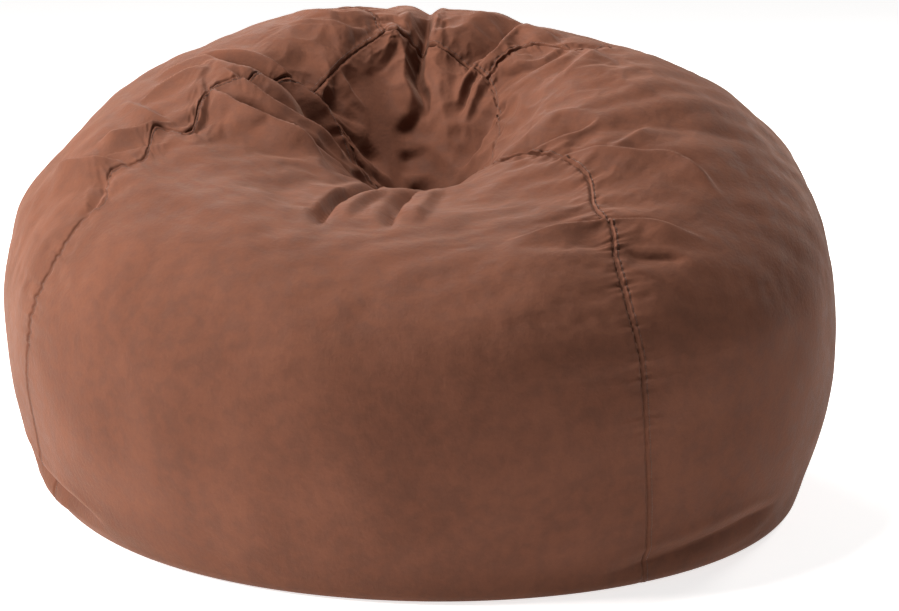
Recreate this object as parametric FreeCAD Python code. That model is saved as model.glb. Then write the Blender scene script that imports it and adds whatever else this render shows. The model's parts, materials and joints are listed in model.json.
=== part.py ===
import FreeCAD, Part
import math
import os

# A large round bean bag chair. Lengths are millimetres and angles are degrees.
# The origin is on the floor under the middle of the bag. +Z is up, -Y is the
# front, where the sitter's knees go, and +X is the sitter's left hand seen from
# the front, so an azimuth runs from the front (0) through +X (90) to the back.

# The bag as it stands, filled and with its seat hollow pressed in
WIDTH = 1200.0
DEPTH = 1170.0
BACK_HEIGHT = 660.0
FRONT_HEIGHT = 470.0
SIDE_LIFT = 10.0
BELLY_HEIGHT = 290.0
SIDE_RADIUS = 500.0
FOOT_RADIUS = 35.0
SHOULDER_FULLNESS = 2.29
CREST_RADIUS_FRONT = 200.0
CREST_RADIUS_BACK = 300.0
HOLLOW_HEIGHT = 380.0
HOLLOW_STEEPNESS = 0.85

# The pattern: four side panels, a four-cornered cap and a base
FIRST_SEAM = 25.0
PANEL_ANGLE = 90.0
CAP_HALF_SIDE = 135.0
CAP_BULGE = 0.25
CAP_SHIFT_RIGHT = -15.0
CAP_SHIFT_BACK = 70.0
CAP_SHIFT_START = 3.5
BASE_SEAM_INSET = 38.0
COVER_THICKNESS = 1.5
LINER_DEPTH = 6.0
LINER_THICKNESS = 1.0
FILL_DEPTH = 11.0

# Names, going round from the front right seam
SEAM_NAMES = ("front_right", "back_right", "back_left", "front_left")
PANEL_NAMES = ("right", "back", "left", "front")

# Seams
SEAM_HALF_GAP = 1.0
THREAD_HALF_WIDTH = 0.4
THREAD_DEPTH = 0.1
COVER_THREAD_THICKNESS = 1.0
LINER_THREAD_THICKNESS = 0.7
THREAD_CLEAR_ANGLE = 1.4
CAP_THREAD_CLEAR_ANGLE = 1.0
THREAD_END_STATION = 0.05
PANEL_START_STATION = 0.03

# Zippers: one in the cover's back left seam, one in the liner's back right seam
COVER_ZIPPER_SEAM = FIRST_SEAM + 2 * PANEL_ANGLE
LINER_ZIPPER_SEAM = FIRST_SEAM + PANEL_ANGLE
COVER_ZIPPER_TOP = 30.0
LINER_ZIPPER_TOP = 15.0
ZIPPER_BOTTOM = -29.0
BED_CORE = 4.0
BED_FADE = 12.0
BED_FADE_HEIGHT = 60.0
HEM_HALF_GAP = 5.6
HEM_LEAD = 16.0
TAPE_OUTER_EDGE = 14.0
TAPE_THICKNESS = 0.6
TAPE_GAP = 0.8
CHAIN_INNER_EDGE = 0.8
CHAIN_OUTER_EDGE = 3.2
CHAIN_HEIGHT = 2.2
STOP_LENGTH = 3.0
STOP_GAP = 0.5
STOP_OVERHANG = 0.4
STOP_PROUD = 0.2
SLIDER_HALF_WIDTH = 4.6
SLIDER_HALF_LENGTH = 6.0
SLIDER_PLATE = 1.1
SLIDER_CLEARANCE = 0.3
CASTING_OVERLAP = 0.1
PARKING_GAP = 1.0
POST_HALF_WIDTH = 0.4
BRIDGE_HALF_WIDTH = 1.0
BRIDGE_HALF_LENGTH = 4.0
BRIDGE_LEG = 1.3
BRIDGE_CLEAR_HEIGHT = 2.4
PULL_PIN_RADIUS = 0.8
PULL_ARM_GAP = 0.3
PULL_HALF_WIDTH = 3.6
PULL_EYE_LENGTH = 6.0
PULL_LENGTH = 30.0
PULL_THICKNESS = 1.4
CUT_MARGIN = 1.0

# Care label, sewn into the seam under the cover's zipper
LABEL_WIDTH = 34.0
LABEL_HEIGHT = 50.0
LABEL_THICKNESS = 0.4
LABEL_STAND_OFF = 1.0
LABEL_TOP = ZIPPER_BOTTOM + 1.0
LABEL_ROWS = 6
LABEL_COLUMNS = 2

# How finely the surfaces are set out
PANEL_ROWS = 84
PANEL_COLUMNS = 20
THREAD_COLUMNS = 2
CAP_COLUMNS = 14
RING_POINTS = 48
FILL_ROWS = 60
FILL_HOLLOW_RADII = (115.0, 90.0, 65.0, 40.0, 20.0, 8.0, 3.0)
SEWING_TOLERANCE = 0.01
MEASURED_STEPS = 300
HALVINGS = 40
STATION_STEP = 0.004
AZIMUTH_STEP = 0.05
PLACE_STEP = 0.5


def unit_across(azimuth):
    """The horizontal direction that an azimuth points in."""
    a = math.radians(azimuth)
    return FreeCAD.Vector(math.sin(a), -math.cos(a), 0)


def belly_radius(azimuth):
    a = math.radians(azimuth)
    return 1.0 / math.hypot(math.sin(a) / (WIDTH / 2), math.cos(a) / (DEPTH / 2))


def towards_back(azimuth):
    """0 at the front, 1 at the back."""
    return (1 - math.cos(math.radians(azimuth))) / 2


def crest_radius(azimuth):
    return CREST_RADIUS_FRONT + (CREST_RADIUS_BACK - CREST_RADIUS_FRONT) * towards_back(azimuth)


def crest_height(azimuth):
    rise = (BACK_HEIGHT - FRONT_HEIGHT) * towards_back(azimuth)
    return FRONT_HEIGHT + rise + SIDE_LIFT * math.sin(math.radians(azimuth)) ** 2


def top_height(x, y):
    """Height of the bag's top over a place on the floor."""
    azimuth = math.degrees(math.atan2(x, -y))
    radius = math.hypot(x, y)
    crest, height = crest_radius(azimuth), crest_height(azimuth)
    if radius < crest:
        share = (radius / crest) ** HOLLOW_STEEPNESS
        return HOLLOW_HEIGHT + (height - HOLLOW_HEIGHT) * math.sin(math.pi / 2 * share) ** 2
    share = min(1.0, (radius - crest) / (belly_radius(azimuth) - crest))
    fall = (1 - share ** SHOULDER_FULLNESS) ** (1 / SHOULDER_FULLNESS)
    return BELLY_HEIGHT + (height - BELLY_HEIGHT) * fall


def cap_edge_radius(azimuth):
    """The cap is a square with bulging sides, a corner on each side seam."""
    from_middle = (azimuth - FIRST_SEAM) % PANEL_ANGLE - PANEL_ANGLE / 2
    slope = math.tan(math.radians(from_middle))
    along = slope / math.sqrt(1 - CAP_BULGE + CAP_BULGE * slope ** 2)
    return CAP_HALF_SIDE * math.sqrt(1 + along ** 2 * (1 - 2 * CAP_BULGE))


def foot_centre_radius(azimuth):
    """Middle of the roll that joins the side's arc to the floor."""
    reach = SIDE_RADIUS - FOOT_RADIUS
    drop = BELLY_HEIGHT - FOOT_RADIUS
    return belly_radius(azimuth) - SIDE_RADIUS + math.sqrt(reach ** 2 - drop ** 2)


def base_seam_radius(azimuth):
    return foot_centre_radius(azimuth) - BASE_SEAM_INSET


def foot_end_angle():
    """How far below level the side's arc ends, where the foot's roll takes over."""
    return math.asin((BELLY_HEIGHT - FOOT_RADIUS) / (SIDE_RADIUS - FOOT_RADIUS))


def eased(share):
    """0 to 1 with a gentle start and end."""
    share = min(1.0, max(0.0, share))
    return share * share * (3 - 2 * share)


def height_at_angle(angle):
    """Height on the side's arc, angle degrees above the belly."""
    return BELLY_HEIGHT + SIDE_RADIUS * math.sin(math.radians(angle))


def zipper_bed_weight(azimuth, height):
    """1 along a zipper, where the seam lies on the zipper's arc, and 0 away from it."""
    weight = 0.0
    for seam, top in ((COVER_ZIPPER_SEAM, COVER_ZIPPER_TOP), (LINER_ZIPPER_SEAM, LINER_ZIPPER_TOP)):
        aside = abs((azimuth - seam + 180) % 360 - 180)
        sideways = eased((BED_CORE + BED_FADE - aside) / BED_FADE)
        bed_end = height_at_angle(top) + HEM_LEAD + BED_FADE_HEIGHT
        weight = max(weight, sideways * eased((bed_end - height) / BED_FADE_HEIGHT))
    return weight


def profile_point(azimuth, station):
    """(radius, height) of the cover's outside.

    Stations 0 to 1 lie on the floor, 1 to 2 round the foot, 2 to 3 up the side to
    the belly, 3 to 4 over the shoulder to the crest, 4 to 5 down to the cap.
    """
    section = min(4, int(station))
    share = station - section
    belly = belly_radius(azimuth)
    foot = foot_centre_radius(azimuth)
    if section == 0:
        return foot - BASE_SEAM_INSET * (1 - share), 0.0
    if section == 1:
        angle = (math.pi / 2 - foot_end_angle()) * share
        return foot + FOOT_RADIUS * math.sin(angle), FOOT_RADIUS * (1 - math.cos(angle))
    if section == 2:
        angle = -foot_end_angle() * (1 - share)
        across = belly - SIDE_RADIUS + SIDE_RADIUS * math.cos(angle)
        return across, BELLY_HEIGHT + SIDE_RADIUS * math.sin(angle)
    crest = crest_radius(azimuth)
    if section == 3:
        angle = math.pi / 2 * share
        power = 2 / SHOULDER_FULLNESS
        across = crest + (belly - crest) * max(0.0, math.cos(angle)) ** power
        height = BELLY_HEIGHT + (crest_height(azimuth) - BELLY_HEIGHT) * math.sin(angle) ** power
        weight = zipper_bed_weight(azimuth, height)
        if weight > 0:
            rise = min(height - BELLY_HEIGHT, SIDE_RADIUS)
            arc = belly - SIDE_RADIUS + math.sqrt(SIDE_RADIUS ** 2 - rise ** 2)
            across = across + weight * (arc - across)
        return across, height
    cap_end = cap_edge_radius(azimuth) + SEAM_HALF_GAP
    across = crest + (cap_end - crest) * share
    place = unit_across(azimuth) * across
    return across, top_height(place.x, place.y)


def cap_shift(share):
    """The cap lies behind the bag's middle, and the seams above the zipper lean to it."""
    return FreeCAD.Vector(CAP_SHIFT_RIGHT, CAP_SHIFT_BACK, 0) * eased(share)


def cover_point(azimuth, station):
    across, height = profile_point(azimuth, station)
    place = unit_across(azimuth) * across
    if station > CAP_SHIFT_START:
        straight = place
        place = straight + cap_shift((station - CAP_SHIFT_START) / (5 - CAP_SHIFT_START))
        height += top_height(place.x, place.y) - top_height(straight.x, straight.y)
    return place + FreeCAD.Vector(0, 0, height)


def cover_normal(azimuth, station):
    """Outward direction of the cover's surface."""
    low = max(0.0, station - STATION_STEP)
    high = min(5.0, station + STATION_STEP)
    around = cover_point(azimuth + AZIMUTH_STEP, station) - cover_point(azimuth - AZIMUTH_STEP, station)
    upwards = cover_point(azimuth, high) - cover_point(azimuth, low)
    normal = around.cross(upwards)
    return normal.normalize()


def layer_point(azimuth, station, depth):
    """A point of a layer that lies depth inside the cover's outer surface."""
    return cover_point(azimuth, station) - cover_normal(azimuth, station) * depth


def hollow_point(x, y, depth):
    """The same at a place x, y from the cap's middle."""
    step = PLACE_STEP
    x, y = x + CAP_SHIFT_RIGHT, y + CAP_SHIFT_BACK
    slope_x = (top_height(x + step, y) - top_height(x - step, y)) / (2 * step)
    slope_y = (top_height(x, y + step) - top_height(x, y - step)) / (2 * step)
    normal = FreeCAD.Vector(-slope_x, -slope_y, 1).normalize()
    return FreeCAD.Vector(x, y, top_height(x, y)) - normal * depth


def even_stations(azimuth, start, end, rows):
    """Stations that divide a stretch of the profile into equal lengths."""
    fine = [start + (end - start) * i / MEASURED_STEPS for i in range(MEASURED_STEPS + 1)]
    places = [profile_point(azimuth, station) for station in fine]
    lengths = [0.0]
    for before, after in zip(places, places[1:]):
        lengths.append(lengths[-1] + math.dist(before, after))
    found, at = [], 0
    for row in range(rows + 1):
        wanted = lengths[-1] * row / rows
        while at < MEASURED_STEPS - 1 and lengths[at + 1] < wanted:
            at += 1
        share = (wanted - lengths[at]) / (lengths[at + 1] - lengths[at])
        found.append(fine[at] + (fine[at + 1] - fine[at]) * min(1.0, share))
    return found


def smooth_surface(rows):
    """A smooth surface that a grid of points governs."""
    degrees, knots, times = [], [], []
    for count in (len(rows), len(rows[0])):
        degree = min(3, count - 1)
        spans = count - degree
        degrees.append(degree)
        knots.append([float(i) for i in range(spans + 1)])
        times.append([degree + 1] + [1] * (spans - 1) + [degree + 1])
    surface = Part.BSplineSurface()
    surface.buildFromPolesMultsKnots(
        rows, times[0], times[1], knots[0], knots[1], False, False, degrees[0], degrees[1]
    )
    return surface


def sewn_solid(faces):
    sewn = Part.makeCompound(faces)
    sewn.sewShape(SEWING_TOLERANCE)
    solid = Part.Solid(sewn.Shells[0])
    if solid.Volume < 0:
        solid.reverse()
    return solid


def solid_between(outer_rows, inner_rows):
    """A closed panel between two surfaces given as equal grids of points."""
    outer = smooth_surface(outer_rows)
    inner = smooth_surface(inner_rows)
    faces = [outer.toShape(), inner.toShape()]
    u0, u1, v0, v1 = outer.bounds()
    p0, p1, q0, q1 = inner.bounds()
    rims = [
        (outer.uIso(u0), inner.uIso(p0)),
        (outer.uIso(u1), inner.uIso(p1)),
        (outer.vIso(v0), inner.vIso(q0)),
        (outer.vIso(v1), inner.vIso(q1)),
    ]
    for outer_rim, inner_rim in rims:
        faces.append(Part.makeRuledSurface(outer_rim.toShape(), inner_rim.toShape(), 1))
    return sewn_solid(faces)


def cloth(edge_low, edge_high, columns, rows, start, end, depth, thickness):
    """Cloth between two edges, each a function from a station to an azimuth."""
    middle = (start + end) / 2
    lines_outer, lines_inner = [], []
    for column in range(columns + 1):
        share = column / columns
        nominal = edge_low(middle) + (edge_high(middle) - edge_low(middle)) * share
        outer, inner = [], []
        for station in even_stations(nominal, start, end, rows):
            low, high = edge_low(station), edge_high(station)
            azimuth = low + (high - low) * share
            outer.append(layer_point(azimuth, station, depth))
            inner.append(layer_point(azimuth, station, depth + thickness))
        lines_outer.append(outer)
        lines_inner.append(inner)
    return solid_between(lines_outer, lines_inner)


def beside_seam(seam, zipper_seam, zipper_top, side):
    """Edge of a panel: just beside its seam, and further off along a zipper."""

    def edge(station):
        across, height = profile_point(seam, station)
        gap = SEAM_HALF_GAP
        if seam % 360 == zipper_seam % 360 and station < 4:
            low = height_at_angle(ZIPPER_BOTTOM) - HEM_LEAD
            high = height_at_angle(zipper_top) + HEM_LEAD
            inside = min(height - low, high - height) / HEM_LEAD
            gap += (HEM_HALF_GAP - SEAM_HALF_GAP) * eased(inside + 0.5)
        return seam + side * math.degrees(math.asin(gap / across))

    return edge


def cap_solid(depth, thickness):
    """Cap panel, laid out on a square grid that is bent to the cap's outline."""
    half = CAP_HALF_SIDE - SEAM_HALF_GAP
    turn = math.radians(FIRST_SEAM + PANEL_ANGLE / 2)
    outer, inner = [], []
    for i in range(CAP_COLUMNS + 1):
        p = 2 * i / CAP_COLUMNS - 1
        outer_row, inner_row = [], []
        for j in range(CAP_COLUMNS + 1):
            q = 2 * j / CAP_COLUMNS - 1
            u = half * p * math.sqrt(1 - CAP_BULGE * q * q)
            v = half * q * math.sqrt(1 - CAP_BULGE * p * p)
            x = u * math.cos(turn) - v * math.sin(turn)
            y = u * math.sin(turn) + v * math.cos(turn)
            outer_row.append(hollow_point(x, y, depth))
            inner_row.append(hollow_point(x, y, depth + thickness))
        outer.append(outer_row)
        inner.append(inner_row)
    return solid_between(outer, inner)


def ring_wire(radius_of, height):
    """A closed smooth outline round the vertical axis."""
    points = []
    for i in range(RING_POINTS):
        azimuth = 360.0 * i / RING_POINTS
        points.append(unit_across(azimuth) * radius_of(azimuth) + FreeCAD.Vector(0, 0, height))
    curve = Part.BSplineCurve()
    curve.interpolate(points, PeriodicFlag=True)
    return Part.Wire([curve.toShape()])


def base_solid(depth, thickness):
    outline = ring_wire(lambda a: base_seam_radius(a) - SEAM_HALF_GAP, depth)
    return Part.Face(outline).extrude(FreeCAD.Vector(0, 0, thickness))


def base_thread(depth, thickness):
    """Stitching round the base, a flat ring between the base and the side panels."""
    outside = ring_wire(lambda a: base_seam_radius(a) + THREAD_HALF_WIDTH, depth)
    inside = ring_wire(lambda a: base_seam_radius(a) - THREAD_HALF_WIDTH, depth)
    disc = Part.Face(outside).extrude(FreeCAD.Vector(0, 0, thickness))
    hole = Part.Face(inside).extrude(FreeCAD.Vector(0, 0, thickness))
    return disc.cut(hole).Solids[0]


def side_panel(first_seam, zipper_seam, zipper_top, depth, thickness):
    low = beside_seam(first_seam, zipper_seam, zipper_top, 1)
    high = beside_seam(first_seam + PANEL_ANGLE, zipper_seam, zipper_top, -1)
    return cloth(low, high, PANEL_COLUMNS, PANEL_ROWS, PANEL_START_STATION, 5.0, depth, thickness)


def seam_thread(seam, start, end, depth, thickness):
    def edge(side):
        def at(station):
            across = profile_point(seam, station)[0]
            return seam + side * math.degrees(math.asin(THREAD_HALF_WIDTH / across))

        return at

    rows = round(PANEL_ROWS * (end - start) / 5)
    return cloth(edge(-1), edge(1), THREAD_COLUMNS, rows, start, end, depth, thickness)


def station_at_side(seam, angle):
    """Station of a point on the side's arc, angle degrees above the belly."""
    if angle <= 0:
        return 3 + math.radians(angle) / foot_end_angle()
    low, high = 3.0, 4.0
    wanted = height_at_angle(angle)
    for _ in range(HALVINGS):
        middle = (low + high) / 2
        if profile_point(seam, middle)[1] < wanted:
            low = middle
        else:
            high = middle
    return low


def side_seam_threads(seam, zipper_seam, zipper_top, depth, thickness):
    """The seam's stitching, in two lengths where a zipper takes the place of the middle."""
    start, end = THREAD_END_STATION, 5 - THREAD_END_STATION
    if seam != zipper_seam:
        return [seam_thread(seam, start, end, depth, thickness)]
    bottom = station_at_side(seam, ZIPPER_BOTTOM - THREAD_CLEAR_ANGLE)
    top = station_at_side(seam, zipper_top + THREAD_CLEAR_ANGLE)
    return [
        seam_thread(seam, start, bottom, depth, thickness),
        seam_thread(seam, top, end, depth, thickness),
    ]


def cap_threads(depth, thickness):
    """Stitching round the cap, one length along each side."""
    lengths = []
    for side in range(len(SEAM_NAMES)):
        start = FIRST_SEAM + side * PANEL_ANGLE + CAP_THREAD_CLEAR_ANGLE
        turn = PANEL_ANGLE - 2 * CAP_THREAD_CLEAR_ANGLE
        outer, inner = [], []
        for i in range(PANEL_COLUMNS + 1):
            azimuth = start + turn * i / PANEL_COLUMNS
            outer_line, inner_line = [], []
            for half in (-THREAD_HALF_WIDTH, 0.0, THREAD_HALF_WIDTH):
                place = unit_across(azimuth) * (cap_edge_radius(azimuth) + half)
                outer_line.append(hollow_point(place.x, place.y, depth))
                inner_line.append(hollow_point(place.x, place.y, depth + thickness))
            outer.append(outer_line)
            inner.append(inner_line)
        lengths.append(solid_between(outer, inner))
    return lengths


def fill_solid():
    """The foam, one closed body under the liner."""
    columns = []
    for i in range(RING_POINTS + 1):
        azimuth = 360.0 * i / RING_POINTS
        stations = even_stations(azimuth, 0.0, 5.0, FILL_ROWS)
        column = [layer_point(azimuth, station, FILL_DEPTH) for station in stations]
        for radius in FILL_HOLLOW_RADII:
            place = unit_across(azimuth) * radius
            column.append(hollow_point(place.x, place.y, FILL_DEPTH))
        columns.append(column)
    lowest = min(column[-1].z for column in columns)
    for column in columns:
        column[-1].z = lowest
    side = smooth_surface(columns)
    low, high = side.bounds()[2:]
    faces = [side.toShape()]
    for rim in (side.vIso(low), side.vIso(high)):
        faces.append(Part.Face(Part.Wire([rim.toShape()])))
    return sewn_solid(faces)


class ZipperPath:
    """The arc that a zipper lies on, in the upright plane of its seam."""

    def __init__(self, seam, face_radius):
        self.out = unit_across(seam)
        self.up = FreeCAD.Vector(0, 0, 1)
        self.axis = self.out.cross(self.up)
        self.centre = self.out * (belly_radius(seam) - SIDE_RADIUS) + self.up * BELLY_HEIGHT
        self.face = face_radius

    def radial(self, angle):
        a = math.radians(angle)
        return self.out * math.cos(a) + self.up * math.sin(a)

    def place(self, angle, height, sideways):
        """A point height above the cloth's face and sideways from the seam."""
        return self.centre + self.radial(angle) * (self.face + height) + self.axis * sideways

    def band(self, start, end, low, high, near, far):
        """A strip along the arc with a rectangular section."""
        corners = [(low, near), (high, near), (high, far), (low, far)]
        points = [self.place(start, h, s) for h, s in corners]
        section = Part.Face(Part.makePolygon(points + points[:1]))
        return section.revolve(self.centre, self.axis, end - start)

    def block(self, angle, along_low, along_high, low, high, near, far):
        """A straight block at one place; along is measured up the tangent."""
        tangent = self.axis.cross(self.radial(angle))
        origin = self.place(angle, 0, 0)
        corners = []
        for along, height in ((along_low, low), (along_high, low), (along_high, high), (along_low, high)):
            corners.append(origin + tangent * along + self.radial(angle) * height + self.axis * near)
        section = Part.Face(Part.makePolygon(corners + corners[:1]))
        return section.extrude(self.axis * (far - near))

    def pin(self, angle, along, height, radius, near, far):
        tangent = self.axis.cross(self.radial(angle))
        start = self.place(angle, height, near) + tangent * along
        return Part.makeCylinder(radius, far - near, start, self.axis)


def tape_levels(thickness):
    """Heights of a tape's two faces over the cloth's outer face."""
    top = -thickness - TAPE_GAP
    return top - TAPE_THICKNESS, top


def build_zipper(prefix, seam, top, depth, thickness, with_pull):
    path = ZipperPath(seam, SIDE_RADIUS - depth)
    tape_low, tape_high = tape_levels(thickness)
    chain_low = tape_high
    chain_high = chain_low + CHAIN_HEIGHT
    bottom = ZIPPER_BOTTOM
    parked = parked_angle(top)
    margin = math.degrees(STOP_LENGTH / SIDE_RADIUS)
    nodes = {}
    for name, side in (("right", -1), ("left", 1)):
        near, far = sorted((side * CHAIN_INNER_EDGE, side * TAPE_OUTER_EDGE))
        nodes[f"{prefix}_zipper_tape_{name}"] = path.band(
            bottom - 2 * margin, top + 2 * margin, tape_low, tape_high, near, far
        )
        near, far = sorted((side * CHAIN_INNER_EDGE, side * CHAIN_OUTER_EDGE))
        nodes[f"{prefix}_zipper_teeth_{name}"] = path.band(bottom, top, chain_low, chain_high, near, far)
    gap = math.degrees(STOP_GAP / SIDE_RADIUS)
    half = CHAIN_OUTER_EDGE + STOP_OVERHANG
    stop_high = chain_high + STOP_PROUD
    nodes[f"{prefix}_zipper_top_stop"] = path.band(
        top + gap, top + gap + margin, chain_low, stop_high, -half, half
    )
    nodes[f"{prefix}_zipper_bottom_stop"] = path.band(
        bottom - gap - margin, bottom - gap, chain_low, stop_high, -half, half
    )
    plate_low = chain_high + SLIDER_CLEARANCE
    under_high = tape_low - SLIDER_CLEARANCE
    reach = math.degrees(SLIDER_HALF_LENGTH / SIDE_RADIUS)
    low, high = parked - reach, parked + reach
    side = SLIDER_HALF_WIDTH
    over = path.band(low, high, plate_low, plate_low + SLIDER_PLATE, -side, side)
    under = path.band(low, high, under_high - SLIDER_PLATE, under_high, -side, side)
    post_low = under_high - CASTING_OVERLAP
    post_high = plate_low + CASTING_OVERLAP
    post = path.band(low + reach, high, post_low, post_high, -POST_HALF_WIDTH, POST_HALF_WIDTH)
    slider = over.fuse([under, post])
    flange_low = chain_low + SLIDER_CLEARANCE
    for sign in (-1, 1):
        near, far = sorted((sign * (CHAIN_OUTER_EDGE + SLIDER_CLEARANCE), sign * side))
        slider = slider.fuse(path.band(low, high, flange_low, post_high, near, far))
    crown = plate_low + SLIDER_PLATE
    if with_pull:
        length = BRIDGE_HALF_LENGTH
        wide = BRIDGE_HALF_WIDTH
        arch_top = crown + BRIDGE_CLEAR_HEIGHT + BRIDGE_LEG
        arch = path.block(parked, -length, length, crown - 2 * CASTING_OVERLAP, arch_top, -wide, wide)
        window_half = length - BRIDGE_LEG
        window_side = wide + CUT_MARGIN
        window = path.block(
            parked,
            -window_half,
            window_half,
            crown + CASTING_OVERLAP,
            crown + BRIDGE_CLEAR_HEIGHT,
            -window_side,
            window_side,
        )
        slider = slider.fuse(arch.cut(window))
        nodes[f"{prefix}_zipper_pull_tab"] = pull_tab(path, parked, crown)
    nodes[f"{prefix}_zipper_slider"] = slider.removeSplitter()
    return nodes


def parked_angle(top):
    """Where the slider stands when its zipper is closed, just under the top stop."""
    return top - math.degrees((SLIDER_HALF_LENGTH + PARKING_GAP) / SIDE_RADIUS)


def pull_tab(path, parked, crown):
    """Tab with an eye that is threaded under the slider's bridge."""
    height = crown + BRIDGE_CLEAR_HEIGHT / 2
    low = height - PULL_THICKNESS / 2
    high = height + PULL_THICKNESS / 2
    arm = BRIDGE_HALF_WIDTH + PULL_ARM_GAP
    wide = PULL_HALF_WIDTH
    plate = path.block(parked, -PULL_LENGTH, 0, low, high, -wide, wide)
    eye = path.block(
        parked, -PULL_EYE_LENGTH, CUT_MARGIN, low - CUT_MARGIN, high + CUT_MARGIN, -arm, arm
    )
    pin = path.pin(parked, 0, height, PULL_PIN_RADIUS, -wide, wide)
    return plate.cut(eye).fuse(pin).removeSplitter()


def care_label():
    """A blank label that hangs against the bag from the seam under the zipper."""
    seam = COVER_ZIPPER_SEAM
    outer, inner = [], []
    for i in range(LABEL_ROWS + 1):
        angle = LABEL_TOP - math.degrees(LABEL_HEIGHT / SIDE_RADIUS) * i / LABEL_ROWS
        outer_row, inner_row = [], []
        for j in range(LABEL_COLUMNS + 1):
            across = belly_radius(seam) - SIDE_RADIUS + SIDE_RADIUS * math.cos(math.radians(angle))
            sideways = 2 * HEM_HALF_GAP + LABEL_WIDTH * j / LABEL_COLUMNS
            azimuth = seam + math.degrees(sideways / across)
            station = 3 + math.radians(angle) / foot_end_angle()
            outer_row.append(layer_point(azimuth, station, -LABEL_STAND_OFF - LABEL_THICKNESS))
            inner_row.append(layer_point(azimuth, station, -LABEL_STAND_OFF))
        outer.append(outer_row)
        inner.append(inner_row)
    return solid_between(outer, inner)


def build_layer(layer, zipper_seam, zipper_top, depth, thickness):
    """One bag: four side panels, a cap, a base, and the zipper that closes it."""
    nodes = {}
    for index, name in enumerate(PANEL_NAMES):
        seam = FIRST_SEAM + index * PANEL_ANGLE
        nodes[f"{layer}_panel_{name}"] = side_panel(seam, zipper_seam, zipper_top, depth, thickness)
    nodes[f"{layer}_top_cap"] = cap_solid(depth, thickness)
    nodes[f"{layer}_base_panel"] = base_solid(depth, thickness)
    nodes.update(build_zipper(layer, zipper_seam, zipper_top, depth, thickness, layer == "cover"))
    return nodes


def build_cover_threads():
    nodes = {}
    depth, thickness = THREAD_DEPTH, COVER_THREAD_THICKNESS
    for index, name in enumerate(SEAM_NAMES):
        seam = FIRST_SEAM + index * PANEL_ANGLE
        lengths = side_seam_threads(seam, COVER_ZIPPER_SEAM, COVER_ZIPPER_TOP, depth, thickness)
        nodes[f"seam_thread_{name}"] = Part.makeCompound(lengths)
    nodes["seam_thread_cap"] = Part.makeCompound(cap_threads(depth, thickness))
    nodes["seam_thread_base"] = base_thread(depth, thickness)
    return nodes


def liner_threads():
    """All the liner's stitching, one group of separate lengths."""
    depth, thickness = LINER_DEPTH + THREAD_DEPTH, LINER_THREAD_THICKNESS
    lengths = cap_threads(depth, thickness) + [base_thread(depth, thickness)]
    for index in range(len(SEAM_NAMES)):
        seam = FIRST_SEAM + index * PANEL_ANGLE
        lengths += side_seam_threads(seam, LINER_ZIPPER_SEAM, LINER_ZIPPER_TOP, depth, thickness)
    return Part.makeCompound(lengths)


def build():
    nodes = build_layer("cover", COVER_ZIPPER_SEAM, COVER_ZIPPER_TOP, 0.0, COVER_THICKNESS)
    nodes.update(build_layer("liner", LINER_ZIPPER_SEAM, LINER_ZIPPER_TOP, LINER_DEPTH, LINER_THICKNESS))
    nodes.update(build_cover_threads())
    nodes["liner_seam_threads"] = liner_threads()
    nodes["care_label"] = care_label()
    nodes["foam_fill"] = fill_solid()
    return nodes


os.makedirs("parts", exist_ok=True)
for node, shape in build().items():
    shape.exportStep(f"parts/{node}.step")
    print(f"{node:28s} {len(shape.Solids)} valid {shape.isValid()} {shape.Volume / 1000:.2f} cm3")
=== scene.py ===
import json
import math

import bpy
import numpy as np
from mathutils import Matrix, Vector

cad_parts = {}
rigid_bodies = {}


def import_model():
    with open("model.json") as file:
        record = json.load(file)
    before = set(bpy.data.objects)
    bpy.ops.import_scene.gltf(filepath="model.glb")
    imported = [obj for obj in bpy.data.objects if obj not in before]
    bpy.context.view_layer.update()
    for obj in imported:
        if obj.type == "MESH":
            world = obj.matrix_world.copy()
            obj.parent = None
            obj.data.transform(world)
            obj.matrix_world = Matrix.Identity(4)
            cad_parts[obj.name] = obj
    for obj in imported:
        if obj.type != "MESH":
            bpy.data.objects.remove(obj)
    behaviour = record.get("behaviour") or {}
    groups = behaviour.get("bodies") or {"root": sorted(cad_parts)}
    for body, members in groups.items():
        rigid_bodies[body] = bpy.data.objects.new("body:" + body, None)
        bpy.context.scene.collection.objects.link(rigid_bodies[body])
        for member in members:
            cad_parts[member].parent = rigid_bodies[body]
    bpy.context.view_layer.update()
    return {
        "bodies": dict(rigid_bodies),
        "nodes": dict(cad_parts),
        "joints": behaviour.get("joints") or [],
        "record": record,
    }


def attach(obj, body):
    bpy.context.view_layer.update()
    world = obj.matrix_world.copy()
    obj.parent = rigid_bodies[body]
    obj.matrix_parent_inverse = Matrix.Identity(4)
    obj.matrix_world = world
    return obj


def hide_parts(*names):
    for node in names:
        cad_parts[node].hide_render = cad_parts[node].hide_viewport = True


# The look of a large round bean bag chair in brown brushed suede, built round its CAD frame.
# Lengths are metres. +Z is up and -Y is the front. An azimuth runs from the front (0)
# through +X (90) to the back (180).

# The bag's smooth shape, the same as the CAD's
WIDTH, DEPTH = 1.2, 1.17
BACK_HEIGHT, FRONT_HEIGHT, SIDE_LIFT = 0.66, 0.47, 0.01
BELLY_HEIGHT, SIDE_RADIUS, FOOT_RADIUS = 0.29, 0.5, 0.035
# How square the shoulder is between belly and crest: 2 is an ellipse
SHOULDER_FULLNESS = 2.29
CREST_RADIUS_FRONT, CREST_RADIUS_BACK = 0.2, 0.3
HOLLOW_HEIGHT, HOLLOW_STEEPNESS = 0.38, 0.85
BASE_SEAM_INSET = 0.038
# The base cloth's height over the floor, which leaves room for its stitches
BASE_LIFT = 0.0012
# The station, between belly and crest, from which the panels lean towards the cap
LEAN_START = 3.5

# The zippers lie on arcs in the seams at these azimuths, up to these angles above the belly
COVER_ZIPPER = (-155.0, 30.0)
LINER_ZIPPER = (115.0, 15.0)
ZIPPER_BOTTOM = -29.0
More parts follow.
